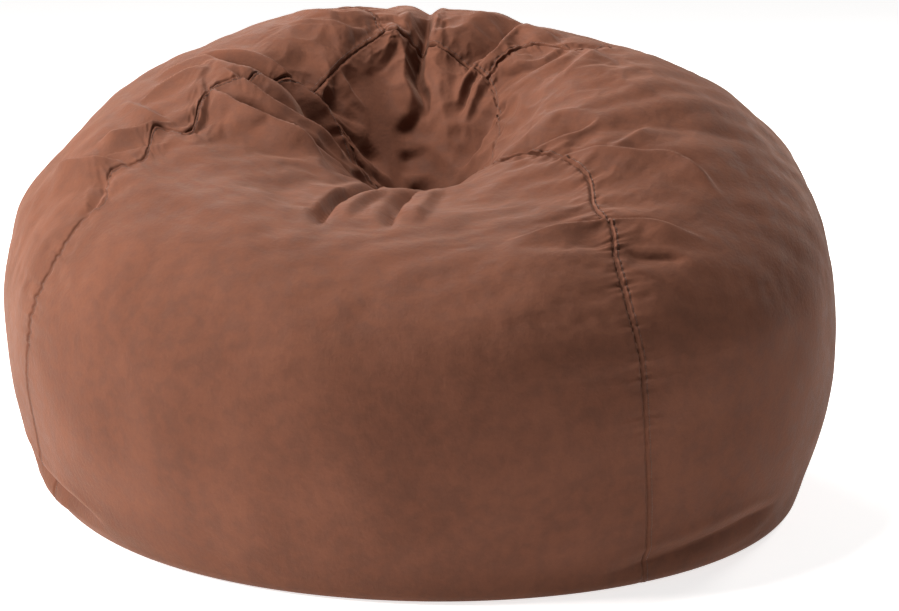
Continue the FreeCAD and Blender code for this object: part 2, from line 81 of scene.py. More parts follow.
# The cloth keeps to the arc for BED_CORE degrees to each side, and up to BED_LEAD above its end.
# From there its folds come in over BED_FADE degrees and BED_FADE_HEIGHT.
BED_CORE, BED_FADE, BED_FADE_HEIGHT, BED_LEAD = 4.0, 12.0, 0.06, 0.016
# Each zipper's hems: how far they stand off the seam, and how gently they close at its ends
HEMS = {COVER_ZIPPER: (0.0056, 0.016), LINER_ZIPPER: (0.009, 0.030)}
# From the chain's middle: where a row of teeth starts and ends, and where the tape ends
CHAIN_INNER, CHAIN_OUTER, TAPE_EDGE = 0.0008, 0.0032, 0.014
TEETH_PITCH = 0.003
# The teeth's faces under the arc, and their chamfer
TEETH_LOW, TEETH_HIGH, TEETH_CHAMFER = -0.0023, -0.0001, 0.0004
# The tape runs this many degrees past the teeth
TAPE_LEAD = 0.7
# How far each zipper's tape lies under the outer cloth's face
COVER_TAPE_DEPTH, LINER_TAPE_DEPTH = 0.0025, 0.0081

# Each side seam's course: (station up the bag, azimuth). Stations: 0 base seam, 1 foot,
# 2 top of the foot's roll, 3 belly, 4 crest, 5 cap.
SEAM_NAMES = ("front_right", "back_right", "back_left", "front_left")
SEAM_COURSES = {
    "front_right": [(0, 31), (2, 31), (3, 29), (3.3, 29), (3.5, 31.5), (3.6, 34.5), (3.72, 37),
                    (3.85, 45.5), (3.93, 48), (4.05, 45), (4.5, 40), (5, 40)],
    "back_right": [(0, 115), (3, 115), (3.6, 116), (3.85, 121), (4, 118), (4.4, 125), (5, 130)],
    "back_left": [(0, 205), (3, 205), (3.6, 205), (3.9, 204), (4.1, 202), (4.5, 196), (5, 194)],
    "front_left": [(0, 285), (1.5, 288), (2.3, 292), (2.7, 295), (3.3, 298), (3.45, 297),
                   (3.53, 297.5), (3.6, 290.5), (3.71, 291), (3.78, 282.5), (3.86, 286), (3.92, 273),
                   (4.1, 269), (5, 266)],
}
# The cap's corners in plan, in the seams' order, and how far each side bulges
CAP_CORNERS = ((0.085, -0.06), (0.102, 0.152), (-0.052, 0.224), (-0.158, 0.085))
CAP_BULGES = (0.024, 0.022, 0.012, -0.006)
PANEL_NAMES = ("right", "back", "left", "front")
# Flat size of each cover panel's cut: width at the belly, length, and area of the tapered cut
PANEL_CUTS = {"right": (0.93, 1.10, 0.74), "back": (0.95, 1.12, 0.78), "left": (0.92, 1.12, 0.76),
              "front": (0.98, 1.05, 0.74)}
CAP_SIZE, BASE_SIZE, LABEL_SIZE = (0.34, 0.36), (0.90, 0.87), (0.034, 0.050)
# The area of the liner's side panels, as a share of the cover's
LINER_SHARE = 0.97

# How finely the cloth is made
SKIN_COLUMNS, SKIN_ROWS, CAP_CELLS = 176, 460, 120
LINER_COLUMNS, LINER_ROWS, LINER_CAP = 64, 190, 40
FOAM_COLUMNS, FOAM_ROWS = 40, 90
BASE_RINGS, BASE_COLUMNS = 22, 160
TAPE_ROWS, TAPE_COLUMNS = 260, 9
SIM_COLUMNS, SIM_ROWS, SIM_FRAMES, WEIGHT_STEPS = 56, 116, 14, 50
# How much the outer cloth's cells crowd towards its seams
SEAM_DENSITY = 1.6
# How far the liner and the fill lie under the cover's face, low down and high up
LINER_DEPTHS, FOAM_DEPTHS = (0.0085, 0.0135), (0.0165, 0.024)
# Their bases: height over the floor, and how far inside the base seam
LINER_BASE, FOAM_BASE = (0.0062, 0.002), (0.0112, 0.004)
# Unevenness of the two: size, height and seed
LINER_LUMPS, FOAM_LUMPS = (0.05, 0.0008, 40), (0.035, 0.0025, 50)

# The photo's camera: a long lens, level with a standing person's chest, four metres off
CAMERA_PLACE, CAMERA_DIRECTION = (0.0, -3.978, 1.216), (0.01083, 0.9747, -0.2323)
CAMERA_LENS, CAMERA_SENSOR = 111.3, 36.0
# The floor glows a little, so that it comes out as pale as the photo's
FLOOR_REACH, FLOOR_HEIGHT, FLOOR_GLOW, SURROUND_GLOW = 60, -0.0005, 0.74, 0.12
# The studio's lights: name, place, what they point at, size, power in watts, and colour
LIGHTS = (
    ("key", (-3.6, -1.0, 1.9), (0, 0, 0.3), 1.3, 232, (1.0, 0.94, 0.90)),
    ("top", (-0.9, -0.1, 3.4), (0, 0.1, 0.4), 1.1, 140, (1.0, 0.95, 0.92)),
    ("back", (-0.9, 3.2, 2.4), (0, 0.1, 0.5), 1.8, 80, (1.0, 0.98, 0.96)),
    ("rim", (2.6, 2.8, 1.7), (0.2, 0, 0.5), 0.9, 50, (1.0, 0.97, 0.95)),
)

# Seams: the groove, the puckers beside it, the broader gathers, and the topstitching's groove
PUCKER_PITCH = 0.0125
GROOVE_DEPTH, PUCKER_HEIGHT, TOPSTITCH_DEPTH = 0.0020, 0.0020, 0.0026
GATHER_HEIGHT, GATHER_REACH = 0.0017, 0.026
CAP_SEAM_STRENGTH, CAP_SEED = 0.6, 10
ALLOWANCE_WIDTH, HEM_STITCH_INSET = 0.0068, 0.003
STITCH_PITCH, STITCH_LENGTH, STITCH_RADIUS = 0.0042, 0.0034, 0.00045
LINER_STITCH_PITCH, LINER_STITCH_LENGTH = 0.006, 0.0045

# Folds of the top, in millimetres: points in plan, half width, height (a valley's is
# negative), and lean, which makes the side on the path's left steeper when it's positive
TOP_FOLDS = [
    # Back wall of the hollow: the deep crease with its branch, the roll beside it, the tongue
    ([(18, 320), (10, 247), (4, 212), (-2, 180), (10, 155), (14, 120)], 11, -34, 0.3),
    ([(24, 460), (20, 380), (14, 290), (8, 220)], 13, -11, 0.3),
    ([(10, 142), (-12, 128), (-34, 122), (-66, 120)], 12, -13, -0.4),
    ([(-48, 262), (-34, 225), (-20, 190), (-12, 158), (-22, 130)], 24, 17, 0.3),
    ([(-95, 160), (-68, 168), (-45, 190), (-26, 222)], 13, -10, 0.5),
    ([(40, 262), (34, 225), (27, 185), (36, 145), (44, 105), (46, 50)], 21, 11, 0.0),
    ([(30, 165), (43, 130), (51, 100), (51, 55)], 8, 7, 0.3),
    # Right of the tongue: the slanting valley and the small folds inside the cap
    ([(168, 300), (138, 250), (108, 208), (80, 188), (65, 167), (54, 145)], 17, -26, 0.5),
    ([(100, 198), (82, 180), (66, 160), (54, 130)], 9, 9, 0.4),
    ([(90, 172), (72, 150), (58, 125)], 7, -10, 0.0),
    ([(104, 165), (86, 138), (64, 108)], 9, 9, 0.4),
    ([(124, 118), (102, 96), (83, 80), (64, 55)], 13, -17, 0.3),
    ([(134, 96), (116, 84), (98, 76)], 6, -10, 0.4),
    # Left wall: small folds inside the cap
    ([(-152, 98), (-118, 98), (-78, 104)], 10, -9, 0.4),
    ([(-128, 140), (-92, 128), (-55, 126)], 10, 12, 0.4),
    ([(-140, 74), (-92, 78), (-52, 84), (-10, 98), (32, 104)], 13, -13, 0.4),
    ([(-120, 66), (-66, 62), (-16, 74), (28, 78)], 10, 12, 0.4),
    ([(-76, 50), (-30, 52), (10, 60)], 9, -10, 0.0),
    # Long folds that run in from the left shoulder and its peak
    ([(-340, 150), (-250, 95), (-190, 68), (-153, 56), (-105, 50), (-50, 45)], 12, -26, 0.4),
    ([(-292, 69), (-260, 28), (-211, -3), (-150, 10), (-85, 16)], 12, 11, 0.5),
    ([(-278, -4), (-232, -28), (-185, -46), (-130, -30), (-80, -20)], 12, -15, 0.2),
    ([(-308, 22), (-285, -10), (-241, -50), (-180, -72), (-120, -110)], 15, 16, 0.6),
    ([(-275, 104), (-335, 114), (-400, 110)], 11, 10, -0.5),
    ([(-300, 85), (-360, 56), (-410, 25)], 11, 9, -0.5),
    # Folds over the front lip
    ([(-52, -120), (-66, -190), (-101, -246), (-123, -308), (-136, -385)], 9, -18, 0.5),
    ([(34, -120), (10, -185), (-12, -212), (-29, -291), (-40, -395)], 9, -18, 0.5),
    ([(-34, -170), (-62, -220), (-90, -280), (-100, -360)], 16, 8, 0.5),
    ([(40, -180), (14, -230), (0, -300), (-4, -370)], 18, 8, 0.5),
    ([(-95, -190), (-122, -240), (-150, -320)], 20, 8, 0.4),
    # Right side: the valley at the rim and the fan of soft folds from it
    ([(262, -83), (199, -105), (157, -114), (120, -90)], 15, -19, 0.5),
    ([(206, 32), (229, 71), (270, 134)], 16, 8, 0.4),
    ([(252, -169), (288, -145), (330, -95)], 12, 6, 0.4),
    ([(220, -110), (340, -100), (480, -60)], 26, -7, 0.0),
    ([(178, -165), (238, -166), (300, -174), (360, -178), (426, -248)], 15, 10, 0.6),
    ([(142, 252), (177, 228), (215, 188)], 12, 6, 0.4),
    ([(114, 150), (151, 133), (188, 129), (226, 159)], 9, -8, 0.4),
    ([(160, 100), (220, 60), (300, 60)], 18, 6, 0.3),
    # Folds across the front right seam
    ([(106, -424), (150, -399), (200, -376), (254, -358), (308, -346), (400, -347)], 13, 11, 0.6),
    ([(262, -400), (290, -410), (324, -402), (362, -392)], 10, -8, 0.4),
    ([(180, -550), (231, -530), (276, -514), (310, -498)], 10, 6, 0.4),
    # Folds across the front left seam, which step it
    ([(-306, 30), (-302, -45), (-322, -94), (-352, -74)], 9, -9, -0.3),
    ([(-345, -62), (-369, -66), (-406, -78), (-460, -70)], 12, 13, -0.6),
    ([(-352, -56), (-387, -25), (-430, 51)], 11, 9, -0.5),
    ([(-412, -146), (-430, -138), (-476, -111), (-526, -55)], 12, 14, -0.6),
    ([(-452, -150), (-440, -190), (-456, -226), (-476, -214)], 9, -8, 0.0),
    # Crest of the back
    ([(-210, 212), (-149, 208), (-101, 212), (-60, 240)], 13, 8, 0.5),
    ([(-200, 290), (-150, 245), (-110, 245), (-70, 270)], 13, 8, 0.5),
    ([(-29, 262), (-59, 240), (-98, 195), (-113, 162)], 12, -7, 0.3),
    ([(24, 268), (16, 232)], 4, -6, 0.0),
    ([(33, 268), (26, 232)], 4, -5, 0.0),
    ([(44, 268), (37, 234)], 4, -4, 0.0),
    ([(-60, 480), (-80, 380), (-40, 300)], 30, -10, 0.0),
    ([(250, 420), (190, 340), (150, 270)], 28, -10, 0.0),
]
# The list above is in this many parts of a metre
MM = 1000
# Folds of the side: (azimuth, height) points, in the same form but in degrees and metres
SIDE_FOLDS = [
    ([(-80, 0.115), (-73, 0.085), (-64, 0.058), (-50, 0.042)], 0.014, -0.014, 0.0),
    ([(-84, 0.070), (-74, 0.045), (-60, 0.030)], 0.014, 0.006, 0.0),
    ([(22, 0.025), (33, 0.036), (45, 0.050), (60, 0.060)], 0.012, -0.010, 0.0),
    ([(150, 0.080), (165, 0.055), (185, 0.060)], 0.014, -0.012, 0.0),
    ([(-130, 0.070), (-115, 0.050), (-100, 0.062)], 0.013, -0.010, 0.0),
    ([(84, 0.075), (96, 0.052), (108, 0.060)], 0.013, -0.010, 0.0),
]
# Metres round the side to a radian, about the belly's radius
SIDE_SCALE = 0.58
# Crumpled cloth in the hollow: (size, height, seed), how far out it reaches, and the hollow's middle
CRUMPLES = ((0.14, 0.006, 11), (0.075, 0.003, 12))
CRUMPLE_REACH, HOLLOW_MIDDLE = 0.27, 0.08
# Waves over the whole cover: (size, height, seed, share of the height that's left low down)
SURFACE_WAVES = ((0.42, 0.006, 3, 0.5), (0.16, 0.0028, 4, 0.35), (0.07, 0.0011, 5, 0.2))
# 2 is a soft wave, 1 a knife edge
FOLD_SHARPNESS = 1.4
# Broad lumps where the filling pushes out: (x, y, radius, height) in plan
LUMPS = [
    (-0.20, 0.24, 0.16, 0.014),
    (0.46, 0.06, 0.24, 0.020),
    (0.36, 0.28, 0.22, -0.002),
    (-0.30, 0.05, 0.07, 0.012),
    (-0.36, 0.28, 0.20, 0.012),
    (0.22, -0.17, 0.09, 0.008),
    (-0.20, -0.28, 0.13, 0.006),
    (0.10, -0.30, 0.14, 0.006),
    (0.00, 0.06, 0.09, -0.006),
]
# The bag bulges over its foot, most on the front right: outward at the floor, and up to here
FOOT_BULGE, FOOT_BULGE_FRONT, FOOT_BULGE_SIDE, FOOT_BULGE_HEIGHT = 0.020, 0.050, 28.0, 0.30
# And a little all round at the belly
BELLY_BULGE = 0.005
# The simulated cloth: how much larger it gets than its filling, how far its seams gather, and
# Blender's settings for it
SIM_GROWTH, SIM_SEAM_SHRINK = 0.016, 0.025
SIM_CLOTH = {
    "quality": 3, "mass": 0.2, "tension_stiffness": 18, "compression_stiffness": 18, "shear_stiffness": 8,
    "bending_stiffness": 2.0, "tension_damping": 8, "compression_damping": 8, "bending_damping": 1,
    "air_damping": 3, "pin_stiffness": 1.0, "shrink_min": -SIM_GROWTH, "shrink_max": SIM_SEAM_SHRINK,
}


def towards_back(az):
    return (1 - np.cos(az)) / 2


def belly_radius(az):
    return 1 / np.hypot(np.sin(az) / (WIDTH / 2), np.cos(az) / (DEPTH / 2))


def crest_radius(az):
    return CREST_RADIUS_FRONT + (CREST_RADIUS_BACK - CREST_RADIUS_FRONT) * towards_back(az)


def crest_height(az):
    return FRONT_HEIGHT + (BACK_HEIGHT - FRONT_HEIGHT) * towards_back(az) + SIDE_LIFT * np.sin(az) ** 2


def eased(share):
    share = np.clip(share, 0, 1)
    return share * share * (3 - 2 * share)


def around(az, radius, height):
    """Places at an azimuth, a distance from the bag's middle and a height."""
    return np.stack([np.sin(az) * radius, -np.cos(az) * radius, height], -1)


def hump(offset, width):
    """A smooth bump of height 1 that is over within about two widths."""
    return np.exp(-((offset / width) ** 2))


def unit(vectors):
    return vectors / np.maximum(np.linalg.norm(vectors, axis=-1, keepdims=True), 1e-12)


def read_line(values, places, at):
    """Points or directions known at some places along a line, read at others."""
    return np.stack([np.interp(at, places, values[:, a]) for a in range(3)], -1)


def top_height(x, y):
    """Height of the smooth bag's top over a place on the floor."""
    az, radius = np.arctan2(x, -y), np.hypot(x, y)
    crest, height = crest_radius(az), crest_height(az)
    share = np.clip(radius / crest, 0, 1) ** HOLLOW_STEEPNESS
    hollow = HOLLOW_HEIGHT + (height - HOLLOW_HEIGHT) * np.sin(math.pi / 2 * share) ** 2
    share = np.clip((radius - crest) / (belly_radius(az) - crest), 0, 1)
    fall = (1 - share**SHOULDER_FULLNESS) ** (1 / SHOULDER_FULLNESS)
    shoulder = BELLY_HEIGHT + (height - BELLY_HEIGHT) * fall
    return np.where(radius < crest, hollow, shoulder)


def height_at_angle(angle):
    return BELLY_HEIGHT + SIDE_RADIUS * math.sin(math.radians(angle))


def bed_weight(az, height, zippers=(COVER_ZIPPER, LINER_ZIPPER)):
    """1 along a zipper, where the cloth keeps to the zipper's arc, and 0 away from it."""
    weight = np.zeros(np.broadcast(az, height).shape)
    for seam, top in zippers:
        aside = np.abs((np.degrees(az) - seam + 180) % 360 - 180)
        sideways = eased((BED_CORE + BED_FADE - aside) / BED_FADE)
        end = height_at_angle(top) + BED_LEAD + BED_FADE_HEIGHT
        weight = np.maximum(weight, sideways * eased((end - height) / BED_FADE_HEIGHT))
    return weight


def profile(az, station):
    """(radius, height) of the smooth bag at an azimuth and a station, up to the crest."""
    belly, crest = belly_radius(az), crest_radius(az)
    reach, drop = SIDE_RADIUS - FOOT_RADIUS, BELLY_HEIGHT - FOOT_RADIUS
    foot = belly - SIDE_RADIUS + math.sqrt(reach**2 - drop**2)
    end = math.asin(drop / reach)
    share = np.clip(station - np.floor(station), 0, 1)
    roll, side, dome = (math.pi / 2 - end) * share, -end * (1 - share), math.pi / 2 * share
    power = 2 / SHOULDER_FULLNESS
    dome_radius = crest + (belly - crest) * np.cos(dome) ** power
    dome_height = BELLY_HEIGHT + (crest_height(az) - BELLY_HEIGHT) * np.sin(dome) ** power
    rise = np.clip(dome_height - BELLY_HEIGHT, 0, SIDE_RADIUS)
    weight = bed_weight(az, dome_height)
    dome_radius += weight * (belly - SIDE_RADIUS + np.sqrt(SIDE_RADIUS**2 - rise**2) - dome_radius)
    sections = [station < 1, station < 2, station < 3, station < 4]
    radius = np.select(sections, [
        foot - BASE_SEAM_INSET * (1 - share),
        foot + FOOT_RADIUS * np.sin(roll),
        belly - SIDE_RADIUS + SIDE_RADIUS * np.cos(side),
        dome_radius,
    ], crest)
    height = np.select(sections, [
        0 * share,
        FOOT_RADIUS * (1 - np.cos(roll)),
        BELLY_HEIGHT + SIDE_RADIUS * np.sin(side),
        dome_height,
    ], crest_height(az))
    return radius, height


def smooth_through(knots, at):
    """A smooth curve through a few (place, value) knots."""
    x, y = np.array(knots, float).T
    slope = np.gradient(y, x)
    i = np.clip(np.searchsorted(x, at, side="right") - 1, 0, len(x) - 2)
    span = x[i + 1] - x[i]
    t = np.clip((at - x[i]) / span, 0, 1)
    a, b = (1 + 2 * t) * (1 - t) ** 2, t * t * (3 - 2 * t)
    bend = t * (1 - t) ** 2 * slope[i] - t * t * (1 - t) * slope[i + 1]
    return a * y[i] + b * y[i + 1] + span * bend


def cap_side(side, share):
    """Plan position on one side of the cap; side 0 is the right panel's."""
    a, b = (np.array(CAP_CORNERS[k % 4]) for k in (side, side + 1))
    outward = np.array([(b - a)[1], -(b - a)[0]])
    outward = outward / np.hypot(*outward)
    share = np.asarray(share)[..., None]
    return a + (b - a) * share + outward * CAP_BULGES[side] * 4 * share * (1 - share)


def hem_gap(seam, station, zipper):
    """How far a panel's edge stands off its seam's line: only along a zipper."""
    if zipper is None:
        return 0 * station
    az = math.radians(zipper[0])
    if abs(math.sin((math.radians(smooth_through(SEAM_COURSES[seam], 3.0)) - az) / 2)) > 0.01:
        return 0 * station
    height = profile(np.full_like(station, az), station)[1]
    half_gap, lead = HEMS[zipper]
    low, high = height_at_angle(ZIPPER_BOTTOM) - lead, height_at_angle(zipper[1]) + lead
    inside = np.minimum(height - low, high - height) / lead
    return np.where(station < 4, half_gap * eased(inside + 0.5), 0)


def panel_plan(panel, share, station, zipper):
    """Positions on the smooth bag of one panel; share runs from its first seam to its second."""
    names = SEAM_NAMES[panel], SEAM_NAMES[(panel + 1) % 4]
    low, high = (np.radians(smooth_through(SEAM_COURSES[n], station)) for n in names)
    high = np.where(high < low, high + 2 * math.pi, high)
    middle = (low + high) / 2
    radius = profile(middle, station)[0]
    low = low + hem_gap(names[0], station, zipper) / radius
    high = high - hem_gap(names[1], station, zipper) / radius
    az = low + (high - low) * share
    radius, height = profile(az, station)
    inward = np.clip(station - 4, 0, 1)
    edge = cap_side(panel, share * np.ones_like(station))
    x, y = np.sin(az) * radius, -np.cos(az) * radius
    lean = eased((station - LEAN_START) / (5 - LEAN_START))
    # Above the crest the cloth runs straight to the cap in plan, and before it the lean starts gently.
    shift_x, shift_y = (edge[..., 0] - x) * inward, (edge[..., 1] - y) * inward
    ease_x, ease_y = -0.015 * lean * (1 - inward), 0.07 * lean * (1 - inward)
    new_x, new_y = x + shift_x + ease_x, y + shift_y + ease_y
    height = height + np.where(station > LEAN_START, top_height(new_x, new_y) - top_height(x, y), 0)
    return np.stack([new_x, new_y, height], -1)


def cap_plan(u, v):
    """Positions on the smooth bag of the cap, from its four sides."""
    b, c, e, a = (np.array(k) for k in CAP_CORNERS)
    # Corners: front right at (0, 0), back right (0, 1), back left (1, 1), front left (1, 0)
    u2, v2 = u[..., None], v[..., None]
    across = (1 - v2) * cap_side(3, 1 - u) + v2 * cap_side(1, u)
    along = (1 - u2) * cap_side(0, v) + u2 * cap_side(2, 1 - v)
    corners = (1 - u2) * (1 - v2) * b + (1 - u2) * v2 * c + u2 * v2 * e + u2 * (1 - v2) * a
    place = across + along - corners
    return np.concatenate([place, top_height(place[..., 0], place[..., 1])[..., None]], -1)


def waves(place, size, seed, count=16):
    """Smooth noise from crossing waves of about this size, mostly within -1 to 1."""
    rng = np.random.default_rng(seed)
    total = np.zeros(place.shape[:-1])
    for _ in range(count):
        direction = rng.normal(size=place.shape[-1])
        direction *= 2 * math.pi / size * rng.uniform(0.6, 1.5) / np.linalg.norm(direction)
        total += np.sin(place @ direction + rng.uniform(0, 2 * math.pi))
    return total / math.sqrt(count)


def rounded_path(points, steps=8):
    """A polyline with its corners rounded (Catmull-Rom)."""
    p = np.array(points, float)
    p = np.vstack([2 * p[0] - p[1], p, 2 * p[-1] - p[-2]])
    t = np.linspace(0, 1, steps, endpoint=False)[:, None]
    parts = []
    for a, b, c, d in zip(p, p[1:], p[2:], p[3:]):
        square, cube = 2 * a - 5 * b + 4 * c - d, 3 * b - a - 3 * c + d
        parts.append(0.5 * (2 * b + (c - a) * t + square * t**2 + cube * t**3))
    return np.vstack(parts + [p[-2:-1]])


def fold_height(place, points, width, height, lean):
    """Height that one fold gives the cloth at places in the fold's own plane."""
    path = rounded_path(points)
    total = np.zeros(len(place))
    reach = 3.2 * width
    near = np.all((place > path.min(0) - reach) & (place < path.max(0) + reach), 1)
    if not near.any():
        return total
    spot = place[near]
    lengths = np.hypot(*np.diff(path, axis=0).T)
    before = np.concatenate([[0], np.cumsum(lengths)])
    best = np.full(len(spot), 1e9)
    aside, along = np.zeros(len(spot)), np.zeros(len(spot))
    for k, (a, b) in enumerate(zip(path, path[1:])):
        step = (b - a) / lengths[k]
        t = np.clip((spot - a) @ step, 0, lengths[k])
        off = spot - a - t[:, None] * step
        far = np.hypot(*off.T)
        closer = far < best
        best = np.where(closer, far, best)
        side = np.sign(step[0] * off[:, 1] - step[1] * off[:, 0])
        aside = np.where(closer, side * far, aside)
        along = np.where(closer, before[k] + t, along)
    share = along / before[-1]
    ends = eased(share / 0.3) * eased((1 - share) / 0.3)
    x = aside / (width * (0.55 + 0.45 * ends) * np.where(aside > 0, 1 - lean, 1 + lean))
    banks = 0.2 * hump(np.abs(x) - 2.1, 0.8)
    total[near] = height * ends * (np.exp(-np.abs(x) ** FOLD_SHARPNESS) - banks)
    return total


def fold_relief(place, station):
    """All the folds and soft lumps at places on the smooth bag."""
    shape = place.shape[:-1]
    flat = place.reshape(-1, 3)
    az = np.arctan2(flat[:, 0], -flat[:, 1])
    # Where folds cross, only the highest ridge and the deepest valley count.
    ridges, valleys = np.zeros(len(flat)), np.zeros(len(flat))
    for points, width, height, lean in TOP_FOLDS:
        fold = fold_height(flat[:, :2], np.array(points) / MM, width / MM, height / MM, lean)
        ridges, valleys = np.maximum(ridges, fold), np.minimum(valleys, fold)
    total = ridges + valleys
    inside = eased((CRUMPLE_REACH - np.hypot(flat[:, 0], flat[:, 1] - HOLLOW_MIDDLE)) / 0.12)
    for size, height, seed in CRUMPLES:
        total += height * inside * (0.6 - np.abs(waves(flat, size, seed)))
    for x, y, radius, height in LUMPS:
        total += height * np.exp(-(((flat[:, 0] - x) ** 2 + (flat[:, 1] - y) ** 2) / radius**2))
    total *= eased((np.broadcast_to(station, shape).reshape(-1) - 3.1) / 0.3)
    for turn in (0, 2 * math.pi):
        side = np.stack([(az + turn) * SIDE_SCALE, flat[:, 2]], -1)
        for points, width, height, lean in SIDE_FOLDS:
            scaled = [(math.radians(a) * SIDE_SCALE, z) for a, z in points]
            total += fold_height(side, scaled, width, height, lean) * (flat[:, 2] < 0.25)
    upper = eased((flat[:, 2] - 0.25) / 0.25)
    for size, height, seed, low_down in SURFACE_WAVES:
        total += height * waves(flat, size, seed) * (low_down + (1 - low_down) * upper)
    total *= eased(flat[:, 2] / 0.05)
    calm = bed_weight(az, flat[:, 2])
    return (total * (1 - calm)).reshape(shape)


def grid_normals(grid):
    """Outward unit normals of a grid whose first axis runs up and second runs round."""
    up = np.gradient(grid, axis=0)
    along = np.gradient(grid, axis=1)
    return unit(np.cross(along, up))


def even_stations(rows):
    """Stations that divide the bag's height into equal lengths of cloth."""
    fine = np.linspace(0, 5, 2000)
    place = panel_plan(0, np.full_like(fine, 0.5), fine, None)
    lengths = np.concatenate([[0], np.cumsum(np.linalg.norm(np.diff(place, axis=0), axis=1))])
    return np.interp(np.linspace(0, lengths[-1], rows + 1), lengths, fine)


def dense_at_ends(cells):
    k = np.linspace(-1, 1, cells + 1)
    return 0.5 + 0.5 * np.tanh(SEAM_DENSITY * k) / math.tanh(SEAM_DENSITY)


def cap_edge(cap, side):
    """One side of the cap's grid, in the order of its panel's columns."""
    return (cap[:, 0], cap[-1, :], cap[::-1, -1], cap[0, ::-1])[side]


def cubic_weights(at, count):
    """Matrix that reads a row of samples at fractional places, smoothly."""
    weights = np.zeros((len(at), count))
    base = np.clip(np.floor(at).astype(int), 0, count - 2)
    t = at - base
    four = (-t + 2 * t**2 - t**3, 2 - 5 * t**2 + 3 * t**3, t + 4 * t**2 - 3 * t**3, t**3 - t**2)
    for offset, part in zip((-1, 0, 1, 2), four):
        np.add.at(weights, (np.arange(len(at)), np.clip(base + offset, 0, count - 1)), part / 2)
    return weights


def read_grid(grid, rows, columns):
    """A grid of vectors read at fractional rows and columns."""
    down, across = cubic_weights(rows, grid.shape[0]), cubic_weights(columns, grid.shape[1])
    return np.einsum("ri,ijk,cj->rck", down, grid, across)


def bulged(place):
    """The smooth bag pushed out over its foot and a little at the belly, except along the zippers."""
    x, y, z = place[..., 0], place[..., 1], place[..., 2]
    az = np.arctan2(x, -y)
    towards_side = np.maximum(0, np.cos(az - math.radians(FOOT_BULGE_SIDE)))
    foot = FOOT_BULGE + FOOT_BULGE_FRONT * towards_side**1.5
    push = foot * np.clip(1 - z / FOOT_BULGE_HEIGHT, 0, 1) ** 1.25
    push = push + BELLY_BULGE * hump(z - BELLY_HEIGHT, 0.12)
    push = push * (1 - bed_weight(az, z)) * eased(np.hypot(x, y) / 0.4)
    return place + around(az, push, 0 * push)


def top_normals(place):
    """Outward directions of the smooth bag's top."""
    step = 0.002
    x, y = place[..., 0], place[..., 1]
    slope_x = (top_height(x + step, y) - top_height(x - step, y)) / (2 * step)
    slope_y = (top_height(x, y + step) - top_height(x, y - step)) / (2 * step)
    return unit(np.stack([-slope_x, -slope_y, np.ones_like(x)], -1))


def lowest_near(relief, rows=2, columns=3):
    """The lowest height within a few cells of each place."""
    padded = np.pad(relief, ((rows, rows), (columns, columns)), mode="edge")
    lowest = relief
    for row in range(2 * rows + 1):
        for column in range(2 * columns + 1):
            near = padded[row:row + relief.shape[0], column:column + relief.shape[1]]
            lowest = np.minimum(lowest, near)
    return lowest


def sunk(relief, height, depths):
    """Relief for what lies under the cover, clear of its folds: depths are (low down, high up)."""
    if depths is None:
        return relief
    low, high = depths
    return lowest_near(relief) - low - (high - low) * eased((height - 0.30) / 0.12)


def displaced(panel, share, station, zipper, depths=None):
    """A panel's grid with its folds, before the cloth simulation."""
    place = bulged(panel_plan(panel, share[None, :], station[:, None] * np.ones(len(share)), zipper))
    upper = eased((station - 3.7) / 0.3)[:, None, None]
    normal = unit(grid_normals(place) * (1 - upper) + top_normals(place) * upper)
    relief = sunk(fold_relief(place, station[:, None]), place[..., 2], depths)
    return place + normal * relief[..., None]


def displaced_cap(u, v, depths=None):
    """The cap's grid with its folds; rows follow v and columns u."""
    place = cap_plan(u[None, :] * np.ones((len(v), 1)), v[:, None] * np.ones((1, len(u))))
    relief = sunk(fold_relief(place, np.full((1, 1), 5.0)), place[..., 2], depths)
    return place + top_normals(place) * relief[..., None]


def mesh_object(name, points, faces):
    """A smooth-shaded object from an array of points and one of equal-sided faces."""
    mesh = bpy.data.meshes.new(name)
    faces = np.asarray(faces)
    mesh.vertices.add(len(points))
    mesh.vertices.foreach_set("co", np.asarray(points, np.float32).ravel())
    mesh.loops.add(faces.size)
    mesh.loops.foreach_set("vertex_index", faces.astype(np.int32).ravel())
    mesh.polygons.add(len(faces))
    mesh.polygons.foreach_set("loop_start", np.arange(0, faces.size, faces.shape[1], dtype=np.int32))
    mesh.polygons.foreach_set("use_smooth", np.ones(len(faces), bool))
    mesh.update(calc_edges=True)
    obj = bpy.data.objects.new(name, mesh)
    bpy.context.scene.collection.objects.link(obj)
    return obj


def grid_faces(index):
    """Quads of a grid of vertex numbers, facing the side that rows-up, columns-right faces."""
    return np.stack([index[:-1, :-1], index[:-1, 1:], index[1:, 1:], index[1:, :-1]], -1).reshape(-1, 4)


def triangles(quads):
    """Each quad as two triangles that face the other way."""
    return np.vstack([quads[:, [0, 2, 1]], quads[:, [0, 3, 2]]])


def ring_and_cap_index(columns, rows):
    """Vertex numbers of the closed simulation mesh: a ring of four panels and the cap's grid."""
    ring = np.arange(4 * columns * (rows + 1)).reshape(rows + 1, 4 * columns)
    cap = np.full((columns + 1, columns + 1), -1)
    top = ring[-1]
    k = np.arange(columns + 1)
    cap[k, 0] = top[k]
    cap[columns, k] = top[(columns + k) % (4 * columns)]
    cap[columns - k, columns] = top[(2 * columns + k) % (4 * columns)]
    cap[0, columns - k] = top[(3 * columns + k) % (4 * columns)]
    inner = cap < 0
    cap[inner] = ring.size + np.arange(inner.sum())
    return ring, cap, inner


